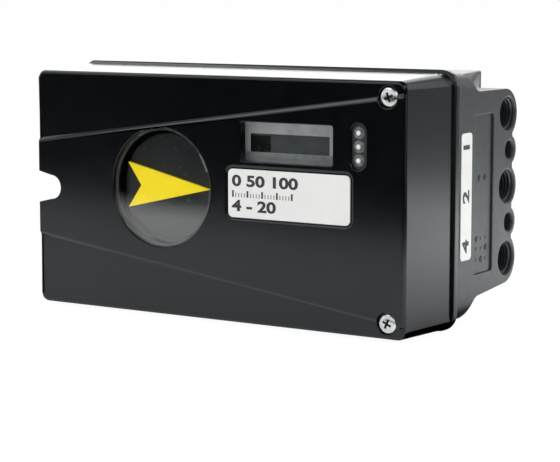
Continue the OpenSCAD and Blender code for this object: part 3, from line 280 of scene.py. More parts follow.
def clear_plastic(name, code, roughness):
    """Thin cast polycarbonate: seen straight through, with a crisp reflection that grows toward the edge."""
    found = bpy.data.materials.get(name)
    if found:
        return found
    made, tree, shader = start_material(name, {"Metallic": 1.0, "Base Color": linear("#ffffff")})
    tree.links.new(grain(tree, 9, roughness * 0.8, roughness * 1.2), shader.inputs["Roughness"])
    side = add_node(tree, "ShaderNodeNewGeometry")
    going_in = 1.66
    index = add_node(tree, "ShaderNodeMapRange", {
        "Value": side.outputs["Backfacing"], "To Min": going_in, "To Max": 1 / going_in})
    edge = add_node(tree, "ShaderNodeFresnel", {"IOR": index.outputs["Result"]})
    through = add_node(tree, "ShaderNodeBsdfTransparent", {"Color": linear(code)})
    mix_surface(tree, edge.outputs["Fac"], through.outputs["BSDF"], shader.outputs["BSDF"])
    return made


def mix_surface(tree, share, first, second):
    """Makes the surface a mix of two shaders, with the second one's share."""
    mixed = add_node(tree, "ShaderNodeMixShader", {0: share, 1: first, 2: second})
    tree.links.new(mixed.outputs["Shader"], tree.nodes["Material Output"].inputs["Surface"])


def slot_materials():
    """One finish for each material slot of the record."""
    along_z = (1, 1, 0.06)
    around_y = (0.08, 1, 0.08)
    # Painted glow: the arrow emits a little of its own yellow in place of light that the window and its
    # recess hold back.
    glow = {"Emission Color": colours().arrow, "Emission Strength": 0.36}
    return {
        "black_enamel": housing_enamel(),
        # Moulded nitrile: dull black that shows dust-grey only where light grazes it.
        "black_rubber": moulded("nitrile_rubber", "#111111", 0.75, 0.7, 0.006),
        # Bright zinc plate: white metal with a slight bluish sheen.
        "zinc_steel": turned("bright_zinc_plate", "#d9dadb", 0.16, 0.3),
        # Clear polycarbonate: only its edge and its reflections show.
        "clear_window": clear_plastic("clear_polycarbonate", "#fbfcfc", 0.02),
        # Smoked polycarbonate: dims what lies behind it, with a softer reflection.
        "smoked_lens": clear_plastic("smoked_polycarbonate", "#cfd0d1", 0.12),
        # Satin polyester label: even white with a soft sheen.
        "white_label": textured("satin_polyester_label", {"IOR": 1.5}, colours().label,
                                tone=(8, 0.98, 1.01), roughness=(4, 0.32, 0.42), bump=(0.4, 0.001)),
        # Turned stainless: tool lines run round the shaft.
        "stainless_steel": turned("turned_stainless", "#b7b9ba", 0.2, 0.38, around_y),
        # Sintered bronze: warm and dull.
        "bronze": turned("sintered_bronze", "#b08a4a", 0.4, 0.6),
        # Blued spring steel: dark blue-grey metal.
        "spring_steel": turned("blued_spring_steel", "#55585c", 0.3, 0.45),
        # Natural nylon: cream and waxy.
        "natural_nylon": moulded("natural_nylon", "#ddd6c2", 0.4),
        # Glossy black styrene: the disc behind the arrow mirrors a little.
        "black_plastic": textured("black_abs", {"IOR": 1.53}, colours().disc,
                                  tone=(7, 0.9, 1.1), roughness=(4, 0.2, 0.28), bump=(0.8, 0.0015)),
        # Yellow acetal: a strong flat yellow, with a painted glow that makes up for light the window and its
        # recess hold back.
        "yellow_plastic": textured("yellow_acetal", {"IOR": 1.48, **glow}, colours().arrow,
                                   tone=(9, 0.96, 1.03), roughness=(4, 0.4, 0.5), bump=(0.7, 0.0015)),
        # Blue diallyl plastic: an even dull blue with a slight sheen.
        "blue_plastic": moulded("blue_diallyl_plastic", "#2c4d70", 0.35),
        # Machined brass: yellow metal with drawn lines.
        "plated_brass": turned("machined_brass", "#c9aa63", 0.22, 0.35, along_z),
        # Glass laminate under green resist: glossy deep green.
        "green_laminate": moulded("green_solder_resist", "#1d5a33", 0.25, 0.9, 0.004),
        # Liquid crystal glass: cool grey with a crisp sheen.
        "lcd_glass": moulded("liquid_crystal_glass", "#5e6264", 0.2, 3, 0.0004),
        # White polycarbonate: warm white with a slight sheen.
        "white_plastic": moulded("white_polycarbonate", "#e2e0d8", 0.35),
        # Green polyamide: mid green, satin.
        "green_plastic": moulded("green_polyamide", "#3b7d52", 0.4),
        # Grey styrene: light grey, satin.
        "grey_plastic": moulded("grey_abs", "#b3b6b8", 0.4),
        # Milled aluminium: pale metal with straight cutter lines.
        "bare_aluminium": turned("milled_aluminium", "#c2c5c7", 0.28, 0.42, along_z),
        # Nickel over brass: warm white metal, fairly bright.
        "nickel_brass": turned("nickel_plate", "#c4c1ba", 0.14, 0.26),
    }


def dress(obj, material):
    """Gives the whole object one material."""
    obj.data.materials.clear()
    obj.data.materials.append(material)


def add_piece(name, bm, material, body="base", replaces=()):
    """Turns a bmesh in the row frame into a piece that rides on a body."""
    mesh = bpy.data.meshes.new(name)
    bmesh.ops.recalc_face_normals(bm, faces=bm.faces)
    bm.to_mesh(mesh)
    bm.free()
    piece = bpy.data.objects.new(name, mesh)
    bpy.context.scene.collection.objects.link(piece)
    mesh.shade_smooth()
    mesh.set_sharp_from_angle(angle=SHARP)
    dress(piece, material)
    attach(piece, body)
    if replaces:
        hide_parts(*replaces)
    return piece


def turns(edge):
    """Whether a face turns enough here to be rounded; between large flats a slight turn is enough."""
    angle = edge.calc_face_angle()
    flats = min(face.calc_area() for face in edge.link_faces) > LARGE_FLAT
    return angle > SHARP or flats and angle > SLIGHT


def outside(x, z, low, high, radius):
    """Distance of a point outside an upright rectangle with rounded corners, and the way out."""
    dx = max(low[0] + radius - x, 0, x - high[0] + radius)
    dz = max(low[1] + radius - z, 0, z - high[1] + radius)
    way = Vector((dx if x > (low[0] + high[0]) / 2 else -dx, dz if z > (low[1] + high[1]) / 2 else -dz))
    return way.length - radius, way.normalized()


def soften(node, width, material, shape):
    """A copy of a cast node, shaped a little and with its outer edges rounded, which stands for the node."""
    bm = bmesh.new()
    bm.from_mesh(frame["nodes"][node].data)
    bmesh.ops.remove_doubles(bm, verts=bm.verts, dist=WELD)
    bmesh.ops.dissolve_limit(bm, angle_limit=FLAT, verts=bm.verts, edges=bm.edges)
    shape(bm)
    bmesh.ops.dissolve_degenerate(bm, dist=EXACT, edges=bm.edges)
    sharp = [e for e in bm.edges if e.is_manifold and e.is_convex and turns(e)]
    bmesh.ops.bevel(bm, geom=sharp, offset=width, segments=2, profile=0.5, affect="EDGES",
                    clamp_overlap=False)
    piece = add_piece(node + "_cast", bm, material, replaces=(node,))
    piece.modifiers.new("flat_faces", "WEIGHTED_NORMAL").keep_sharp = True
    return piece


def lathe(bm, profile, steps=48):
    """Spins (radius, height) points round Z; a zero radius becomes one point."""
    rings = []
    for r, z in profile:
        if r == 0:
            rings.append([bm.verts.new((0, 0, z))])
        else:
            rings.append([bm.verts.new((r * math.cos(a), r * math.sin(a), z))
                          for a in (2 * math.pi * i / steps for i in range(steps))])
    for low, high in zip(rings, rings[1:]):
        for i in range(steps):
            j = (i + 1) % steps
            corners = [low[i % len(low)], low[j % len(low)], high[j % len(high)], high[i % len(high)]]
            bm.faces.new(list(dict.fromkeys(corners)))


def lathes(profile, places, steps):
    """A bmesh with one lathed form at each place."""
    bm = bmesh.new()
    for place in places:
        made = bmesh.new()
        lathe(made, profile, steps)
        made.transform(place)
        add_to(bm, made)
    return bm


def thread(bm, at, axis, radius, pitch, length, steps=40):
    """A helical ridge inside a bore; at is the mouth, axis points into the hole."""
    sunk, depth = 0.03 * MM, 0.6 * pitch
    root, crest = 0.45, 0.08
    profile = [(sunk, -root), (-depth, -crest), (-depth, crest), (sunk, root)]
    place = Matrix.Translation(at) @ Vector(axis).to_track_quat("Z", "Y").to_matrix().to_4x4()
    count = int(length / pitch * steps)
    rings = []
    for i in range(count + 1):
        a = 2 * math.pi * i / steps
        grow = min(1, i / steps * 2, (count - i) / steps * 2)
        ring = []
        for out, along in profile:
            r = radius + (out * grow if out < 0 else out)
            z = (i / steps + 0.5 + along) * pitch
            ring.append(bm.verts.new(place @ Vector((r * math.cos(a), r * math.sin(a), z))))
        rings.append(ring)
    for low, high in zip(rings, rings[1:]):
        for j in range(len(profile)):
            k = (j + 1) % len(profile)
            bm.faces.new((low[j], low[k], high[k], high[j]))
    bm.faces.new(rings[0])
    bm.faces.new(rings[-1][::-1])


def slab(bm, low, high):
    """A box between two corners."""
    made = bmesh.ops.create_cube(bm, size=1)
    centre = (Vector(low) + Vector(high)) / 2
    span = Vector(high) - Vector(low)
    for v in made["verts"]:
        v.co = centre + Vector((v.co.x * span.x, v.co.y * span.y, v.co.z * span.z))
    return made["verts"]


def print_text(bm, words, height, turn, align="CENTER"):
    """Adds a flat broad text to the bmesh; turn places it and sets its facing."""
    curve = bpy.data.curves.new("print", "FONT")
    curve.body = words
    curve.size = 1 / CAP_HEIGHT
    curve.align_x = align
    curve.align_y = "CENTER"
    curve.extrude = sizes().ink / height
    curve.offset = STROKE
    holder = bpy.data.objects.new("print", curve)
    mesh = bpy.data.meshes.new_from_object(holder)
    mesh.transform(turn @ Matrix.Diagonal((BREADTH * height, height, height, 1)))
    bm.from_mesh(mesh)
    bpy.data.objects.remove(holder)
    bpy.data.curves.remove(curve)
    bpy.data.meshes.remove(mesh)


def add_to(bm, part):
    """Moves one bmesh into another."""
    mesh = bpy.data.meshes.new("part")
    part.to_mesh(mesh)
    part.free()
    bm.from_mesh(mesh)
    bpy.data.meshes.remove(mesh)


def cut_mesh(body, cutter):
    """The mesh of one bmesh with another one cut out of it."""
    holders = []
    for name, bm in (("cut_body", body), ("cut_tool", cutter)):
        mesh = bpy.data.meshes.new(name)
        bmesh.ops.recalc_face_normals(bm, faces=bm.faces)
        bm.to_mesh(mesh)
        bm.free()
        holder = bpy.data.objects.new(name, mesh)
        bpy.context.scene.collection.objects.link(holder)
        holders.append(holder)
    cut = holders[0].modifiers.new("cut", "BOOLEAN")
    cut.object = holders[1]
    cut.solver = "EXACT"
    cut.use_self = True
    depsgraph = bpy.context.evaluated_depsgraph_get()
    made = bpy.data.meshes.new_from_object(holders[0].evaluated_get(depsgraph))
    for holder in holders:
        mesh = holder.data
        bpy.data.objects.remove(holder)
        bpy.data.meshes.remove(mesh)
    return made


def frosted():
    # Frosted polycarbonate round the light pipes: dark silvery grey with a soft sparkle.
    return textured("frosted_polycarbonate", {"IOR": 1.58}, linear("#272b2d"),
                    tone=(0.9, 0.6, 1.4), roughness=(0.6, 0.25, 0.45), bump=(0.4, 0.02))


def bright_lens():
    # Moulded diffuser round the end of a light pipe: mid grey that sparkles.
    return textured("grey_diffuser", {"IOR": 1.58}, linear("#5b5f62"),
                    tone=(0.9, 0.4, 1.5), roughness=(0.5, 0.2, 0.35), bump=(0.5, 0.03))


def ink():
    # Screen-printed ink: dark, matt, slightly uneven.
    return textured("screen_ink", {"IOR": 1.5}, colours().ink,
                    tone=(3, 0.85, 1.15), roughness=(2, 0.45, 0.6), bump=(0.3, 0.001))


class POSITIONER_OT_stage(bpy.types.Operator):
    """Sets the camera, floor, cards and lights"""

    bl_idname = "positioner.stage"
    bl_label = "Stage"

    def execute(self, context):
        scene = context.scene
        stage = scene.positioner_stage
        scene.view_settings.view_transform = "Standard"
        self.camera(scene, stage)
        self.studio_world(scene, stage.fill)
        self.floor(scene)
        self.dark_card(scene, "front_card", turn=math.radians(12), ends=(-2.5, 2.5), top=0.2)
        self.dark_card(scene, "right_card", turn=math.radians(100), ends=(-2.5, 0.12), top=1.1)
        self.shade_card(scene)
        self.softboxes(scene, stage)
        self.table_lights(scene, stage.table)
        return {"FINISHED"}

    def camera(self, scene, stage):
        camera = bpy.data.objects.new("camera", bpy.data.cameras.new("camera"))
        camera.data.sensor_width = 36
        camera.data.lens = stage.lens
        camera.data.clip_end = 50
        camera.location = stage.camera_at
        camera.rotation_euler = (math.radians(90) - stage.pitch, 0, stage.yaw)
        scene.collection.objects.link(camera)
        scene.camera = camera

    def studio_world(self, scene, fill):
        """White to the camera; to reflections white near the horizon and dark overhead."""
        world = bpy.data.worlds.new("studio")
        scene.world = world
        world.use_nodes = True
        tree = world.node_tree
        path = add_node(tree, "ShaderNodeLightPath")
        facing = add_node(tree, "ShaderNodeTexCoord")
        axes = add_node(tree, "ShaderNodeSeparateXYZ", {"Vector": facing.outputs["Generated"]})
        ceiling = add_node(tree, "ShaderNodeMapRange", {
            "Value": axes.outputs["Z"], "From Min": 0.35, "From Max": 0.7, "To Min": 1.0, "To Max": 0.06},
            interpolation_type="SMOOTHSTEP")
        mirrored = add_node(tree, "ShaderNodeMath", {
            0: path.outputs["Is Glossy Ray"], 1: path.outputs["Is Transmission Ray"]}, operation="MAXIMUM")
        lit = add_node(tree, "ShaderNodeMix", {
            "Factor": mirrored.outputs["Value"], 2: fill, 3: ceiling.outputs["Result"]})
        strength = add_node(tree, "ShaderNodeMix", {
            "Factor": path.outputs["Is Camera Ray"], 2: lit.outputs[0], 3: 1.0})
        back = tree.nodes["Background"]
        back.inputs["Color"].default_value = linear("#ffffff")
        tree.links.new(strength.outputs[0], back.inputs["Strength"])

    def flat_object(self, scene, name, bm):
        """Turns a bmesh into a plain object of the scene."""
        mesh = bpy.data.meshes.new(name)
        bm.to_mesh(mesh)
        bm.free()
        made = bpy.data.objects.new(name, mesh)
        scene.collection.objects.link(made)
        return made

    def floor(self, scene):
        """A white table that the camera sees nearly evenly white, with a faint shadow."""
        bm = bmesh.new()
        bmesh.ops.create_grid(bm, x_segments=1, y_segments=1, size=20)
        floor = self.flat_object(scene, "floor", bm)
        floor.location.z = CAD_BOX[0].z
        # White laminate: dull and even.
        made, tree, shader = start_material("white_laminate_table", {"Roughness": 0.9})
        mottle = grain(tree, 60, 0.98, 1.02)
        tree.links.new(shade(tree, linear("#f4f4f3"), mottle), shader.inputs["Base Color"])
        glow = add_node(tree, "ShaderNodeEmission", {"Color": linear("#ffffff"), "Strength": 1.04})
        path = add_node(tree, "ShaderNodeLightPath")
        even = 0.93
        share = add_node(tree, "ShaderNodeMath", {
            0: path.outputs["Is Camera Ray"], 1: even}, operation="MULTIPLY")
        mix_surface(tree, share.outputs["Value"], shader.outputs["BSDF"], glow.outputs["Emission"])
        dress(floor, made)

    def shade_sheet(self, name):
        # Painted shade: a dead black sheet without sheen, a little mottled, that reflections show where the
        # room and the table lie in shade.
        made, tree, shader = start_material(name, {"Roughness": 1.0, "Specular IOR Level": 0.0})
        mottle = grain(tree, 40, 0.9, 1.1)
        tree.links.new(shade(tree, linear("#060606"), mottle), shader.inputs["Base Color"])
        return made, tree, shader

    def only_mirrored(self, card):
        """Lets a card be seen in reflections alone."""
        card.visible_camera = False
        card.visible_diffuse = False
        card.visible_shadow = False

    def dark_card(self, scene, name, turn, ends, top):
        """Painted shade: the dark room beyond the table's edge, as a black sheet out of sight that the
        glossy faces mirror.
        """
        near, far, fade = -0.29, -1.9, 0.09
        low = CAD_BOX[0].z + 1 * MM
        bm = bmesh.new()
        rows = [[bm.verts.new((x, y, z)) for x in ends] for y, z in ((near, low), (far, low), (far, top))]
        for a, b in zip(rows, rows[1:]):
            bm.faces.new((a[0], a[1], b[1], b[0]))
        card = self.flat_object(scene, name, bm)
        card.rotation_euler.z = turn
        made, tree, shader = self.shade_sheet("painted_dark_room")
        place = add_node(tree, "ShaderNodeTexCoord")
        axes = add_node(tree, "ShaderNodeSeparateXYZ", {"Vector": place.outputs["Object"]})
        edge = add_node(tree, "ShaderNodeMapRange", {
            "Value": axes.outputs["Y"], "From Min": near, "From Max": near - fade},
            interpolation_type="SMOOTHSTEP")
        through = add_node(tree, "ShaderNodeBsdfTransparent")
        mix_surface(tree, edge.outputs["Result"], through.outputs["BSDF"], shader.outputs["BSDF"])
        dress(card, made)
        self.only_mirrored(card)

    def shade_card(self, scene):
        """Deep shade under the right-hand end, out of sight, that the lower edges mirror."""
        bm = bmesh.new()
        bmesh.ops.create_grid(bm, x_segments=1, y_segments=1, size=0.5)
        card = self.flat_object(scene, "shade_card", bm)
        card.scale = (62 * MM, 110 * MM, 1)
        card.location = (87 * MM, -30 * MM, CAD_BOX[0].z + 0.1 * MM)
        # Painted shadow: this dark sheet stands for the object's contact shadow in reflections.
        made, _, _ = self.shade_sheet("painted_contact_shade")
        dress(card, made)
        self.only_mirrored(card)

    def softboxes(self, scene, stage):
        """Two large lamps that light the front and the side, and two that only reflections show."""
        cover, ports, rear = (0.03, -0.05, 0), (0.1, 0, 0), (0.1, 0.05, 0)
        self.softbox(scene, "left_softbox", stage.key, at=(-0.92, -0.85, 1.28), aim=cover, size=(1.8, 0.5))
        self.softbox(scene, "right_softbox", stage.side, at=(1.2, -0.7, 0.9), aim=ports, size=(0.8, 0.8))
        back = self.softbox(
            scene, "back_softbox", stage.back, at=(-1.0, 1.45, 0.72), aim=rear, size=(2.4, 1.4))
        edge = self.softbox(
            scene, "edge_softbox", stage.edge, at=(-0.87, 0.76, 1.05), aim=cover, size=(1.6, 0.9))
        back.visible_diffuse = edge.visible_diffuse = False

    def table_lights(self, scene, power):
        """Lamps that shine down on the table, each with a share of the power and a breadth of beam."""
        for name, at, share, beam in (("front_table_light", (-0.1, -0.3, 0.8), 1.2, 180),
                                      ("rear_table_light", (0.3, 0.2, 0.28), 0.27, 100)):
            lamp = self.softbox(scene, name, share * power, at, aim=(at[0], at[1], 0), size=(0.3, 0.3))
            lamp.data.spread = math.radians(beam)
            lamp.visible_glossy = False

    def softbox(self, scene, name, power, at, aim, size):
        """A rectangular lamp that the camera doesn't see."""
        lamp = bpy.data.lights.new(name, "AREA")
        lamp.shape = "RECTANGLE"
        lamp.size, lamp.size_y = size
        lamp.energy = power
        holder = bpy.data.objects.new(name, lamp)
        holder.location = at
        holder.rotation_euler = (Vector(aim) - Vector(at)).to_track_quat("-Z", "Y").to_euler()
        holder.visible_camera = False
        scene.collection.objects.link(holder)
        return holder


class POSITIONER_OT_finishes(bpy.types.Operator):
    """Gives every solid the finish of its material slot"""

    bl_idname = "positioner.finishes"
    bl_label = "Finishes"

    def execute(self, context):
        materials = slot_materials()
        for part in frame["record"]["subparts"]:
            dress(frame["nodes"][part["node"]], materials[part["material_slot"]])
        # Grey silicone under the window: it shows as a ring through the window's edge.
        dress(frame["nodes"]["window_seal"], moulded("grey_silicone", "#5c6063", 0.5))
        return {"FINISHED"}


class POSITIONER_OT_castings(bpy.types.Operator):
    """Rounds the edges of the cover and the housing and draws their draft and seats as cast"""

    bl_idname = "positioner.castings"
    bl_label = "Castings"

    def execute(self, context):
        soften("housing", sizes().edge, housing_enamel(), self.shape_housing)
        soften("front_cover", sizes().edge, cover_enamel(), self.shape_cover)
        return {"FINISHED"}

    def shape_cover(self, bm):
        """Draws the cover's rim, wall, plate seat and panel ends as they are cast."""
        low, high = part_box("front_cover")
        rim, foot = 2.4 * MM, 0.4 * MM
        wall = (low.x + rim, low.z + foot), (high.x - rim, high.z - rim)
        self.shape_rim(bm, low.y + 32 * MM, low.y + 33.8 * MM, high.y, wall)
        self.shape_front(bm, low.y, wall)

    def shape_rim(self, bm, front, lip, back, wall):
        """Sets the rim back, joins its lip to it, and makes it low on top and narrow at the left."""
        wall_r, set_back = 4.4 * MM, 1.5 * MM
        top, left, fade = 0.8, 0.4, 4 * MM
        low, high = wall
        for v in bm.verts:
            x, y, z = v.co
            if y <= front - NEAR:
                continue
            if abs(y - front) < NEAR:
                v.co.y = front + set_back
                if abs(outside(x, z, low, high, wall_r)[0]) < NEAR:
                    self.flare_wall(v, low, high, wall_r)
                    continue
            elif abs(y - lip) < NEAR:
                v.co.y = back
            if z > high[1]:
                share = top * ramp(x - low[0], fade)
                v.co.z = high[1] + (z - high[1]) * share
            if x < low[0]:
                v.co.x = low[0] + (x - low[0]) * left

    def flare_wall(self, v, low, high, radius):
        """Draws the wall's end out to the right and upward, and its lower corners in."""
        under, outward, forward, upward = 0.82, 1.2 * MM, 0.8 * MM, 0.7 * MM
        x, z = v.co.x, v.co.z
        middle = low[1] + radius
        crown = ramp(z - high[1] + radius, radius)
        if z < middle:
            v.co.z = middle + (z - middle) * under
        v.co.x += outward * ramp(x - high[0] + radius, radius)
        v.co.y -= forward * crown
        v.co.z += upward * crown

    def shape_front(self, bm, front, wall):
        """Slopes the plate's seat and draws the raised panel out toward the cover's ends."""
        plate_low, plate_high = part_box("name_plate")
        gap, seat_r, slope = 0.5 * MM, 2.5 * MM, 0.78 * MM
        seat = (plate_low.x - gap, plate_low.z - gap), (plate_high.x + gap, plate_high.z + gap)
        inset, rise = 2.5 * MM, 0.9 * MM
        face_out, foot_out, foot_back = 0.85 * MM, 1.4 * MM, 1.4 * MM
        panel_ends = (wall[0][0] + inset, -1), (wall[1][0] - inset, 1)
        for v in bm.verts:
            x, y, z = v.co
            if abs(y - front) < EXACT:
                away, out = outside(x, z, *seat, seat_r)
                if abs(away) < NEAR:
                    v.co.x += out.x * slope
                    v.co.z += out.y * slope
            for end, side in panel_ends:
                if abs(x - end) < EXACT and y < front + rise:
                    on_face = y < front + NEAR
                    v.co.x = end + side * (face_out if on_face else foot_out)
                    v.co.y = y if on_face else front + foot_back

    def shape_housing(self, bm):
        """Thickens the flange downward and gives the side of the rear box its draft."""
        low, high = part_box("housing")
        flange_back, flange_low = low.y + 16 * MM, low.z + 4.2 * MM
        thicker, fade = 1.2 * MM, 4 * MM
        box_front, box_top = low.y + 8.5 * MM, high.z - 16 * MM
        side_low, side_high = 90 * MM, high.x - 1 * MM
        draft, box_depth = 1.5 * MM, 40 * MM
        for v in bm.verts:
            x, y, z = v.co
            if z < flange_low and y < flange_back:
                v.co.z -= thicker * ramp(flange_low - z, fade)
            if z > box_top and y > flange_back and side_low < x < side_high:
                v.co.x += draft * (y - box_front) / box_depth


class POSITIONER_OT_threads(bpy.types.Operator):
    """Cuts threads into the air ports and the cable entry"""

    bl_idname = "positioner.threads"
    bl_label = "Threads"

    def execute(self, context):
        bm = bmesh.new()
        for mount in frame["record"]["mounts"]:
            if mount["kind"] != "threaded_hole":
                continue
            pitch = sizes().entry_pitch if mount["name"] == "cable_entry" else sizes().port_pitch
            radius, length = mount["dims"]["r_mm"] * MM, mount["dims"]["length_mm"] * MM
            thread(bm, mount["pos_m"], -Vector(mount["axis"]), radius, pitch, length)
        add_piece("port_threads", bm, housing_enamel())
        return {"FINISHED"}


class POSITIONER_OT_screws(bpy.types.Operator):
    """Turns the cover screws into pan heads with a cross recess"""

    bl_idname = "positioner.screws"
    bl_label = "Cover screws"

    # Share of a head's height that is domed.
    DOME = 0.45

    def execute(self, context):
        low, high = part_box("cover_screws")
        head_r, head_h = sizes().head_radius, sizes().head_height
        notch = next(o for o in frame["record"]["physics"]["openings"] if o["name"] == "cover_notch")
        notch_low, notch_high = notch["box_m"]
        seat = low.y + head_h
        notch_z = (notch_low[2] + notch_high[2]) / 2
        cad_r, off_axis, notch_depth = 3.55 * MM, 0.35 * MM, 3.5 * MM
        right = high.x - cad_r + off_axis
        places = [(right, seat, high.z - cad_r, 22), (right, seat, low.z + cad_r, -25),
                  (low.x + cad_r, notch_high[1] + notch_depth, notch_z, 10)]
        metal, recess = bmesh.new(), bmesh.new()
        for x, y, z, turn in places:
            head = self.head(head_r, head_h, high.y - y)
            place = Matrix.Translation((x, y, z)) @ FACE_FRONT @ Matrix.Rotation(math.radians(turn), 4, "Z")
            for target, keep in ((metal, False), (recess, True)):
                part = bmesh.new()
                part.from_mesh(head)
                spare = [f for f in part.faces if self.in_recess(f, head_r, head_h) != keep]
                bmesh.ops.delete(part, geom=spare, context="FACES")
                part.transform(place)
                add_to(target, part)
            bpy.data.meshes.remove(head)
        add_piece("cover_screws_pan", metal, slot_materials()["zinc_steel"],
                  replaces=("cover_screws",))
        # Painted shade in the driver recess: a matt dark grey.
        add_piece("screw_recesses", recess, moulded("screw_recess_painted_shade", "#1c1e20", 0.6))
        return {"FINISHED"}

    def in_recess(self, face, radius, height):
        """Whether a face of the head lies below its crown, in the driver recess."""
        reach, below = 0.65, 0.06 * MM
        middle = face.calc_center_median()
        away = math.hypot(middle.x, middle.y) / radius
        crown = height * (1 - self.DOME + self.DOME * math.sqrt(max(0, 1 - away * away)))
        return away < reach and 0 < middle.z < crown - below

    def head(self, radius, height, shank):
        """A pan head on its shank with a tapered cross recess, its seat at the origin."""
        body = bmesh.new()
        rise = self.DOME * height
        crown = [(radius * math.cos(a), height - rise + rise * math.sin(a))
                 for a in (math.radians(90) * i / 12 for i in range(12))]
        shank_r = 2 * MM
        profile = [(0, -shank), (shank_r, -shank), (shank_r, 0), (radius, 0), *crown, (0, height)]
        lathe(body, profile, steps=64)
        cutter = bmesh.new()
        reach, half, depth, above = 2.2 * MM, 0.5 * MM, 1.7 * MM, 0.3 * MM
        taper_x, taper_y = 0.42, 0.62
        for turn in (0, 90):
            for v in slab(cutter, (-reach, -half, height - depth), (reach, half, height + above)):
                if v.co.z < height:
                    v.co.x *= taper_x
                    v.co.y *= taper_y
                v.co.rotate(Matrix.Rotation(math.radians(turn), 3, "Z"))
        return cut_mesh(body, cutter)


class POSITIONER_OT_display(bpy.types.Operator):
    """Builds the display's bezel and glass and the lenses of the status lights"""

    bl_idname = "positioner.display"
    bl_label = "Display"

    def execute(self, context):
        self.display()
        self.lights()
        return {"FINISHED"}

    def display(self):
        """A bezel of three pale bars and a darker sill round the glass, with one dark block on it: the two
        greys are painted light and shade on one styrene.
        """
        low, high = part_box("display_window")
        lap = 2 * MM
        left, right, base, top = low.x + lap, high.x - lap, low.z + lap, high.z - lap
        front = high.y + 0.1 * MM
        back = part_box("lcd_module")[0].y - 0.02 * MM
        field_left, field_right = left + 1.0 * MM, right - 4.5 * MM
        field_base, field_top = base + 3.3 * MM, top - 4.7 * MM
        glass_front, block_front = front + 0.3 * MM, front + 0.25 * MM
        block_right, block_top = field_left + 9.3 * MM, field_top - 0.8 * MM
        bezel = bmesh.new()
        slab(bezel, (left - lap, front, field_top), (right + lap, back, top + lap))
        slab(bezel, (left - lap, front, field_base), (field_left, back, field_top))
        slab(bezel, (field_right, front, field_base), (right + lap, back, field_top))
        # Silver-grey styrene: pale, with a soft sheen, painted paler than the sill to make up for the shade
        # the opening's top edge casts on these bars.
        add_piece("display_bezel", bezel, moulded("grey_abs_bars_painted_paler", "#d2d3d4", 0.3))
        sill = bmesh.new()
        slab(sill, (left - lap, front, base - lap), (right + lap, back, field_base))
        # The same styrene painted darker on the sill, which the opening's top edge leaves unshaded: painted
        # shade.
        add_piece("display_sill", sill, moulded("grey_abs_sill_painted_darker", "#a9acae", 0.3))
        glass = bmesh.new()
        slab(glass, (field_left, glass_front, field_base), (field_right, back, field_top))
        add_piece("display_glass", glass, slot_materials()["lcd_glass"])
        block = bmesh.new()
        slab(block, (field_left, block_front, field_base), (block_right, glass_front, block_top))
        # A flat black field on the left of the glass.
        dark = moulded("display_black_block", "#050606", 0.3, 3, 0.0004)
        add_piece("display_block", block, dark)

    def lights(self):
        """A frosted lens with round ends, three domes on it, and a white core in each."""
        low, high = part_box("light_window")
        pipe_low, pipe_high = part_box("light_pipes")
        x = (low.x + high.x) / 2
        middle = (low.z + high.z) / 2
        pitch = (pipe_high.z - pipe_low.z) / 2 - (pipe_high.x - pipe_low.x) / 2
        half = sizes().lens_width / 2
        straight = sizes().lens_height / 2 - half
        front = low.y + 0.6 * MM
        flange, flange_front, stem_back = 1.3 * MM, low.y + 4 * MM, low.y + 4.8 * MM
        lens = bmesh.new()
        self.pill(lens, x, middle, half, straight, front, stem_back)
        self.pill(lens, x, middle, half + flange, straight, flange_front, high.y)
        add_piece("light_lens", lens, frosted(), replaces=("light_window",))
        places = [Matrix.Translation((x, front, middle + i * pitch)) @ FACE_FRONT for i in (-1, 0, 1)]
        r, tall = 2.4 * MM, 0.9 * MM
        dome = [(r * math.cos(a), tall * math.sin(a)) for a in (math.radians(90) * k / 8 for k in range(8))]
        domes = lathes([*dome, (0, tall)], places, steps=40)
        add_piece("light_domes", domes, bright_lens())
        core = [(1.05 * MM, 0.55 * MM), (0.9 * MM, 0.86 * MM), (0.5 * MM, 0.97 * MM), (0, 1.0 * MM)]
        cores = lathes(core, places, steps=32)
        add_piece("light_cores", cores, slot_materials()["white_plastic"])

    def pill(self, bm, x, z, half, straight, front, back, steps=24):
        """A block with round ends, upright, from front to back."""
        outline = []
        for side, centre in ((0, straight), (1, -straight)):
            for i in range(steps + 1):
                a = math.pi * (side + i / steps)
                outline.append((x + half * math.cos(a), z + centre + half * math.sin(a)))
        near = [bm.verts.new((px, front, pz)) for px, pz in outline]
        far = [bm.verts.new((px, back, pz)) for px, pz in outline]
        bm.faces.new(near)
        bm.faces.new(far[::-1])
        for i in range(len(near)):
            j = (i + 1) % len(near)
            bm.faces.new((near[i], near[j], far[j], far[i]))


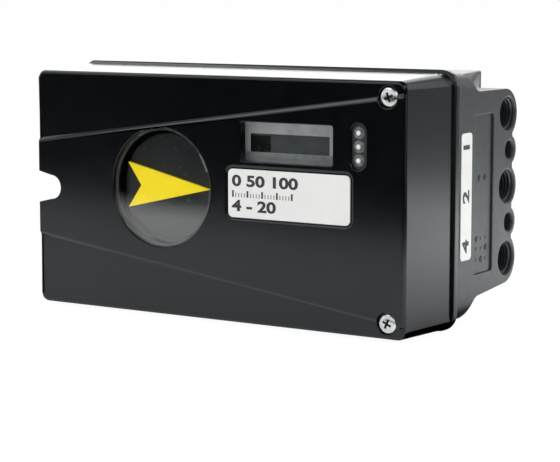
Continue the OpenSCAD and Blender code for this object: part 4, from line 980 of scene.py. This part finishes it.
class POSITIONER_OT_prints(bpy.types.Operator):
    """Prints a plain scale and numbers on plate and label and sets dots beside the ports"""

    bl_idname = "positioner.prints"
    bl_label = "Prints"

    def execute(self, context):
        self.plate_scale()
        self.port_numbers()
        self.mark_dots()
        return {"FINISHED"}

    def plate_scale(self):
        """Two rows of bold plain numbers with a fine scale between them."""
        low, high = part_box("name_plate")
        bm = bmesh.new()
        left, span = low.x + 2.2 * MM, 27 * MM
        front, base = low.y - sizes().ink, low.z + 7.9 * MM
        long_tick, short_tick = (0.4 * MM, 2.6 * MM), (0.16 * MM, 1.6 * MM)
        ticks = sizes().scale_ticks
        for i in range(ticks + 1):
            x = left + span * i / ticks
            half, tall = long_tick if i % 5 == 0 else short_tick
            slab(bm, (x - half, front, base), (x + half, low.y, base + tall))
        text_left = left - 0.4 * MM
        for words, z in (("0 50 100", high.z - 4.7 * MM), ("4 - 20", low.z + 4.4 * MM)):
            turn = Matrix.Translation((text_left, low.y, z)) @ FACE_FRONT
            print_text(bm, words, sizes().digit, turn, "LEFT")
        add_piece("plate_print", bm, ink())

    def mark_dots(self):
        """Plain dots, some of them black, on the sunk panel beside the ports."""
        black, cast = [(-31.2, 5.1), (-26.4, 5.1)], []
        inked = ((0, 0), (1, 2), (2, 1))
        for i, z in enumerate((-18.8, -22.6, -26.9)):
            for j, y in enumerate((-33.0, -29.2, -25.1)):
                (black if (i, j) in inked else cast).append((y, z))
        # Flat deep black for the darker dots.
        self.dots("black_dots", black, 1.4 * MM, moulded("flat_black_dots", "#050505", 0.5))
        self.dots("cast_dots", cast, 0.9 * MM, housing_enamel())

    def dots(self, name, points, r, material):
        """Low round buttons on the panel's floor, at points given as y and z in mm."""
        sunk, rise, shoulder = 0.8 * MM, 0.22 * MM, 0.16 * MM
        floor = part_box("housing")[1].x - sunk
        facing = Matrix.Rotation(math.radians(90), 4, "Y")
        places = [Matrix.Translation((floor, y * MM, z * MM)) @ facing for y, z in points]
        bm = lathes([(r, 0), (0.8 * r, shoulder), (0, rise)], places, steps=20)
        add_piece(name, bm, material)

    def port_numbers(self):
        """A number for each air port, read from the right and nearer together than the ports."""
        low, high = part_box("port_label")
        closer, lower, taller = 0.66, 1 * MM, 1.2
        ports = sorted(m["pos_m"][2] for m in frame["record"]["mounts"] if m["kind"] == "threaded_hole"
                       and m["name"] != "cable_entry")
        facing = Matrix(((0, 0, 1), (0, -1, 0), (1, 0, 0))).to_4x4()
        bm = bmesh.new()
        for number, z in zip("421", ports):
            at = (high.x, (low.y + high.y) / 2, closer * z - lower)
            print_text(bm, number, taller * sizes().digit, Matrix.Translation(at) @ facing)
        add_piece("port_numbers", bm, ink())


class POSITIONER_PT_panel(bpy.types.Panel):
    """Lists the steps in order"""

    bl_idname = "POSITIONER_PT_panel"
    bl_label = "Valve Positioner"
    bl_space_type = "VIEW_3D"
    bl_region_type = "UI"
    bl_category = "Positioner"

    def draw(self, context):
        for operator in OPERATORS:
            self.layout.operator(operator.bl_idname)


OPERATORS = (
    POSITIONER_OT_stage,
    POSITIONER_OT_finishes,
    POSITIONER_OT_castings,
    POSITIONER_OT_threads,
    POSITIONER_OT_screws,
    POSITIONER_OT_display,
    POSITIONER_OT_prints,
)
GROUPS = (PositionerColours, PositionerSizes, PositionerStage)


def register():
    for cls in (*GROUPS, *OPERATORS, POSITIONER_PT_panel):
        bpy.utils.register_class(cls)
    bpy.types.Scene.positioner_colours = PointerProperty(type=PositionerColours)
    bpy.types.Scene.positioner_sizes = PointerProperty(type=PositionerSizes)
    bpy.types.Scene.positioner_stage = PointerProperty(type=PositionerStage)


def unregister():
    del bpy.types.Scene.positioner_stage
    del bpy.types.Scene.positioner_sizes
    del bpy.types.Scene.positioner_colours
    for cls in reversed((*GROUPS, *OPERATORS, POSITIONER_PT_panel)):
        bpy.utils.unregister_class(cls)


def main():
    register()
    bpy.ops.positioner.stage()
    bpy.ops.positioner.finishes()
    bpy.ops.positioner.castings()
    bpy.ops.positioner.threads()
    bpy.ops.positioner.screws()
    bpy.ops.positioner.display()
    bpy.ops.positioner.prints()


if __name__ == "__main__":
    main()
